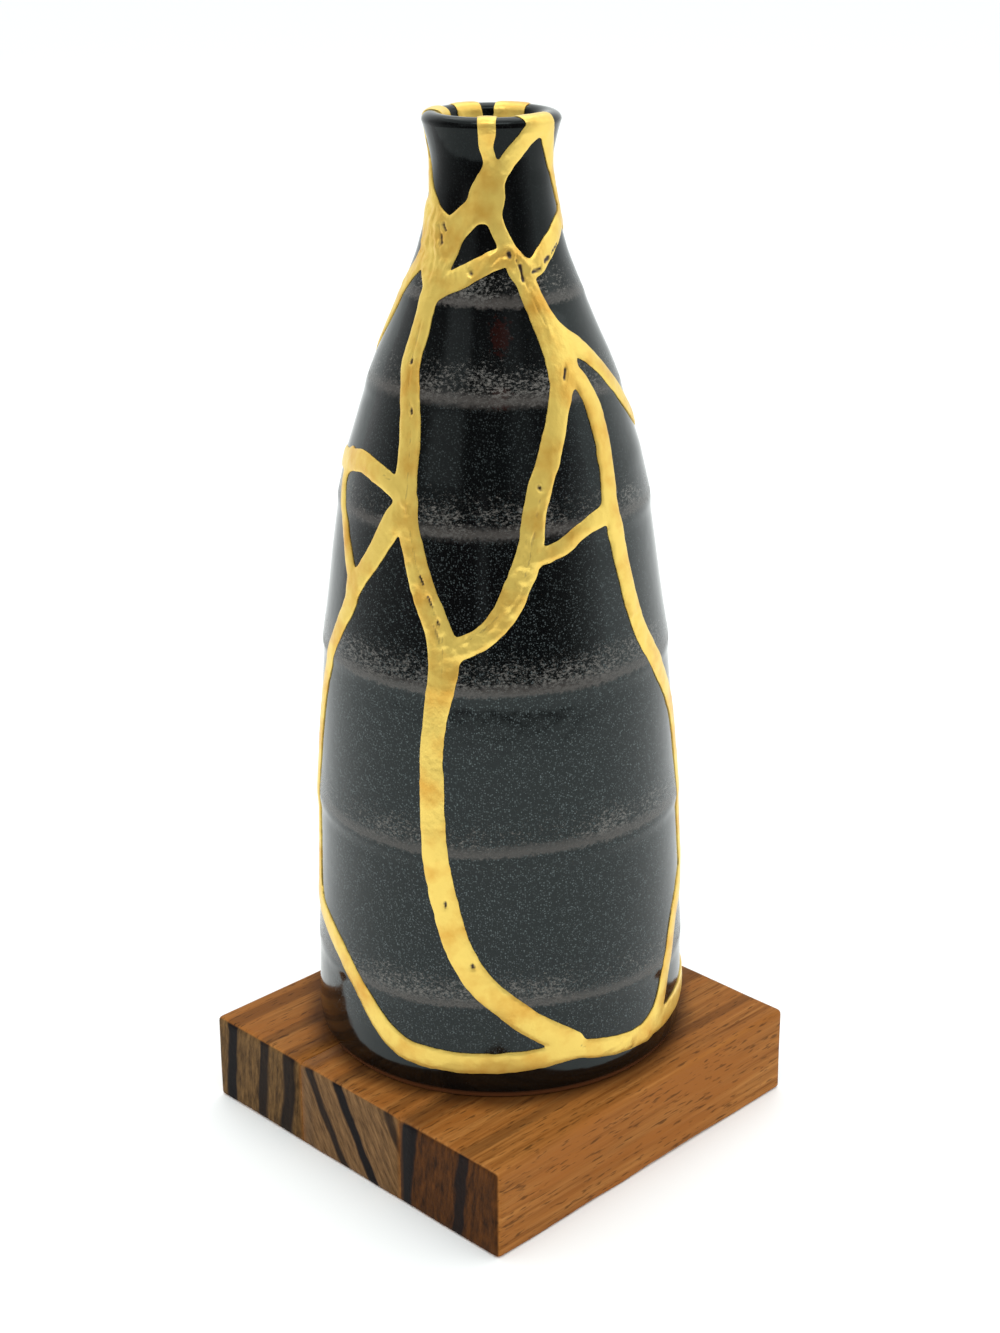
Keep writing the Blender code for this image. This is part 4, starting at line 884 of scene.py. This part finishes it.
def oiled_hardwood(name, slant, bands, end_dark, end_light):
    """Sawn and oiled hardwood: fibres and short pores, almost no sheen, and darker open grain on the ends.

    Bands are (place, half width, darkness) across the strip, and slant by some degrees."""
    material, tree, shader = new_material(name)
    place = add(tree, "TexCoord").outputs["Object"]
    axes = add(tree, "SeparateXYZ", {0: place})
    geometry = add(tree, "NewGeometry")
    facing = add(tree, "SeparateXYZ", {0: geometry.outputs["Normal"]})
    stretch = add(tree, "Mapping", {"Vector": place, "Scale": (0.12, 1.0, 1.0)})
    warp = add(tree, "TexNoise", {"Vector": stretch, "Scale": 0.09 / MM, "Detail": 2.0})
    across = add(tree, "Math", {0: axes.outputs["Z"], 1: math.tan(math.radians(slant)),
                                2: axes.outputs["Y"]}, operation="MULTIPLY_ADD")
    warped = add(tree, "Math", {0: warp, 1: BAND_WARP * MM, 2: across}, operation="MULTIPLY_ADD")
    zero = BAND_WARP / 2 * MM
    share = add(tree, "MapRange", {"Value": warped, "From Min": zero - BAND_REACH * MM,
                                   "From Max": zero + BAND_REACH * MM})
    stops = [(0.0, 0.0)]
    for spot, reach, dark in bands:
        middle, edge = (spot + BAND_REACH) / (2 * BAND_REACH), reach / (2 * BAND_REACH)
        stops += [(middle - edge - BAND_EDGE, 0.0), (middle - edge, dark), (middle + edge, dark),
                  (middle + edge + BAND_EDGE, 0.0)]
    band = add(tree, "ValToRGB", {"Fac": share}, stops=stops + [(1.0, 0.0)])
    # Along the strip: fibres, broad streaks, the bands run on faintly, and short dark pores
    fine = add(tree, "Mapping", {"Vector": place, "Scale": (0.03, 1.0, 1.0)})
    fibre = add(tree, "TexNoise", {"Vector": fine, "Scale": 0.9 / MM, "Detail": 4.0, "Roughness": 0.65})
    fibre = add(tree, "MapRange", {"Value": fibre, "From Min": 0.32, "From Max": 0.66})
    streaks = add(tree, "TexNoise", {"Vector": stretch, "Scale": 0.26 / MM, "Detail": 3.0})
    streaks = add(tree, "MapRange", {"Value": streaks, "From Min": 0.35, "From Max": 0.65})
    faint = add(tree, "Math", {0: band, 1: 0.40}, operation="MULTIPLY")
    dashed = add(tree, "Mapping", {"Vector": place, "Scale": (0.16, 1.0, 1.0)})
    pores = add(tree, "TexNoise", {"Vector": dashed, "Scale": 1.9 / MM, "Detail": 1.0})
    pores = add(tree, "MapRange", {"Value": pores, "From Min": 0.60, "From Max": 0.72, "To Max": 0.6})
    long_wood = add(tree, "Mix", {"Factor": fibre, 6: paint("6c3c11"), 7: paint("ae753b")},
                    data_type="RGBA")
    for share, color in ((streaks, "945a25"), (faint, "2a1608"), (pores, "2e1705")):
        long_wood = add(tree, "Mix", {"Factor": share, 6: long_wood, 7: paint(color)}, data_type="RGBA")
    # On the sawn end: open grain that slants with the bands
    upright = add(tree, "CombineXYZ", {0: across, 1: axes.outputs["Z"]})
    upright = add(tree, "Mapping", {"Vector": upright, "Scale": (1.0, 0.22, 1.0)})
    grain = add(tree, "TexNoise", {"Vector": upright, "Scale": 0.85 / MM, "Detail": 4.0,
                                   "Roughness": 0.7})
    grain = add(tree, "MapRange", {"Value": grain, "From Min": 0.3, "From Max": 0.7})
    end_wood = add(tree, "Mix", {"Factor": grain, 6: paint(end_dark), 7: paint(end_light)},
                   data_type="RGBA")
    end_wood = add(tree, "Mix", {"Factor": band, 6: end_wood, 7: paint("120d0e")}, data_type="RGBA")
    end = add(tree, "Math", {0: facing.outputs["X"]}, operation="ABSOLUTE")
    end = add(tree, "MapRange", {"Value": end, "From Min": 0.55, "From Max": 0.85})
    wood = add(tree, "Mix", {"Factor": end, 6: long_wood, 7: end_wood}, data_type="RGBA")
    from_axis = add(tree, "Mapping", {"Vector": place, "Location": (-VASE_AXIS[0], -VASE_AXIS[1], 0.0),
                                      "Scale": (1.0, 1.0, 0.0)})
    from_axis = add(tree, "VectorMath", {0: from_axis}, operation="LENGTH")
    from_axis = add(tree, "Math", {0: warp, 1: STAIN_AND_SHADOW_WANDER * MM, 2: from_axis}, operation="MULTIPLY_ADD")
    # On top, darker round the foot of the vase: an oil stain, partly painted contact shadow
    stain_and_shadow = add(tree, "MapRange", {"Value": from_axis, "From Min": STAIN_AND_SHADOW_OUTER * MM,
                                   "From Max": STAIN_AND_SHADOW_INNER * MM, "To Max": 0.7})
    stain_and_shadow = add(tree, "Math", {0: stain_and_shadow, 1: facing.outputs["Z"]}, operation="MULTIPLY", use_clamp=True)
    wood = add(tree, "Mix", {"Factor": stain_and_shadow, 6: wood, 7: paint("2a1406")}, data_type="RGBA")
    bump = add(tree, "Bump", {"Height": fibre, "Strength": 0.35, "Distance": 0.12 * MM})
    fill(shader, {"Base Color": wood, "Roughness": 0.6, "Specular IOR Level": 0.08, "Normal": bump})
    return material


ROUNDING = 2.0
ROUNDING_CUTS = np.array((0.0, 0.12, 0.3, 0.6))
CUT_STEP = 4.0
WORN_EDGE = 1.0
WORN_CHANGE = 0.35
WORN_PATCH = 9.0
WORN_LIMITS = (0.6, 1.45)


def strip_cuts(low, high, round_low, round_high):
    """Places of the mesh lines across a strip, close together where an edge is rounded."""
    steps = max(2, round((high - low - round_low - round_high) / CUT_STEP))
    return np.unique(np.concatenate([low + round_low * ROUNDING_CUTS, high - round_high * ROUNDING_CUTS,
                                     np.linspace(low + round_low, high - round_high, steps + 1)]))


def glued_strip(name, low_y, high_y, low_round, high_round, material):
    """A bar with worn edges, rounded (1) or left square (0) along its low and its high long side."""
    cuts = (strip_cuts(-HALF_LENGTH, HALF_LENGTH, ROUNDING, ROUNDING),
            strip_cuts(low_y, high_y, low_round * ROUNDING, high_round * ROUNDING),
            strip_cuts(0.0, BASE_HEIGHT, ROUNDING, ROUNDING))
    number, faces = {}, []
    for axis in range(3):
        one, two = (axis + 1) % 3, (axis + 2) % 3
        for side in (0, len(cuts[axis]) - 1):
            for i in range(len(cuts[one]) - 1):
                for j in range(len(cuts[two]) - 1):
                    face = []
                    for step_one, step_two in ((0, 0), (1, 0), (1, 1), (0, 1)):
                        corner = [side, side, side]
                        corner[one], corner[two] = i + step_one, j + step_two
                        face.append(number.setdefault(tuple(corner), len(number)))
                    faces.append(face if side else face[::-1])
    points = np.array([[cut[step] for cut, step in zip(cuts, corner)] for corner in number])
    worn = np.clip(WORN_EDGE + WORN_CHANGE * lumps(points, WORN_PATCH), *WORN_LIMITS)
    lows = np.stack([worn - HALF_LENGTH, low_y + low_round * worn, worn], 1)
    highs = np.stack([HALF_LENGTH - worn, high_y - high_round * worn, BASE_HEIGHT - worn], 1)
    core = np.clip(points, lows, highs)
    off = points - core
    length = np.linalg.norm(off, axis=1)
    rounded = core + off / np.maximum(length, 1e-9)[:, None] * np.minimum(length, worn)[:, None]
    return new_piece(name, rounded * MM, faces, material)


# Strips: name, sides and their rounding, slant, bands and the colours of the sawn end
STRIPS = (("front", -HALF_WIDTH, -STRIP_JOINT - GLUE, 1, 0, 6.0,
           ((-33.0, 1.3, 0.9), (-17.0, 2.1, 1.0)), "1e0e03", "5b330e"),
          ("middle", -STRIP_JOINT + GLUE, STRIP_JOINT - GLUE, 0, 0, -30.0,
           ((-23.4, 1.2, 0.8), (-7.6, 1.4, 1.0), (1.9, 1.2, 0.9)), "412c17", "84623f"),
          ("left", STRIP_JOINT + GLUE, HALF_WIDTH, 0, 1, 5.0,
           ((21.6, 1.7, 0.9), (30.1, 1.3, 0.9), (41.2, 1.4, 1.0)), "2f1f0e", "775833"))
for name, low_y, high_y, low_round, high_round, slant, bands, end_dark, end_light in STRIPS:
    wood = oiled_hardwood("oiled_wood_" + name + "_strip", slant, bands, end_dark, end_light)
    piece = glued_strip(name + "_strip_wood", low_y, high_y, low_round, high_round, wood)
    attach(piece, "root")
    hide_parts("base_strip_" + name)
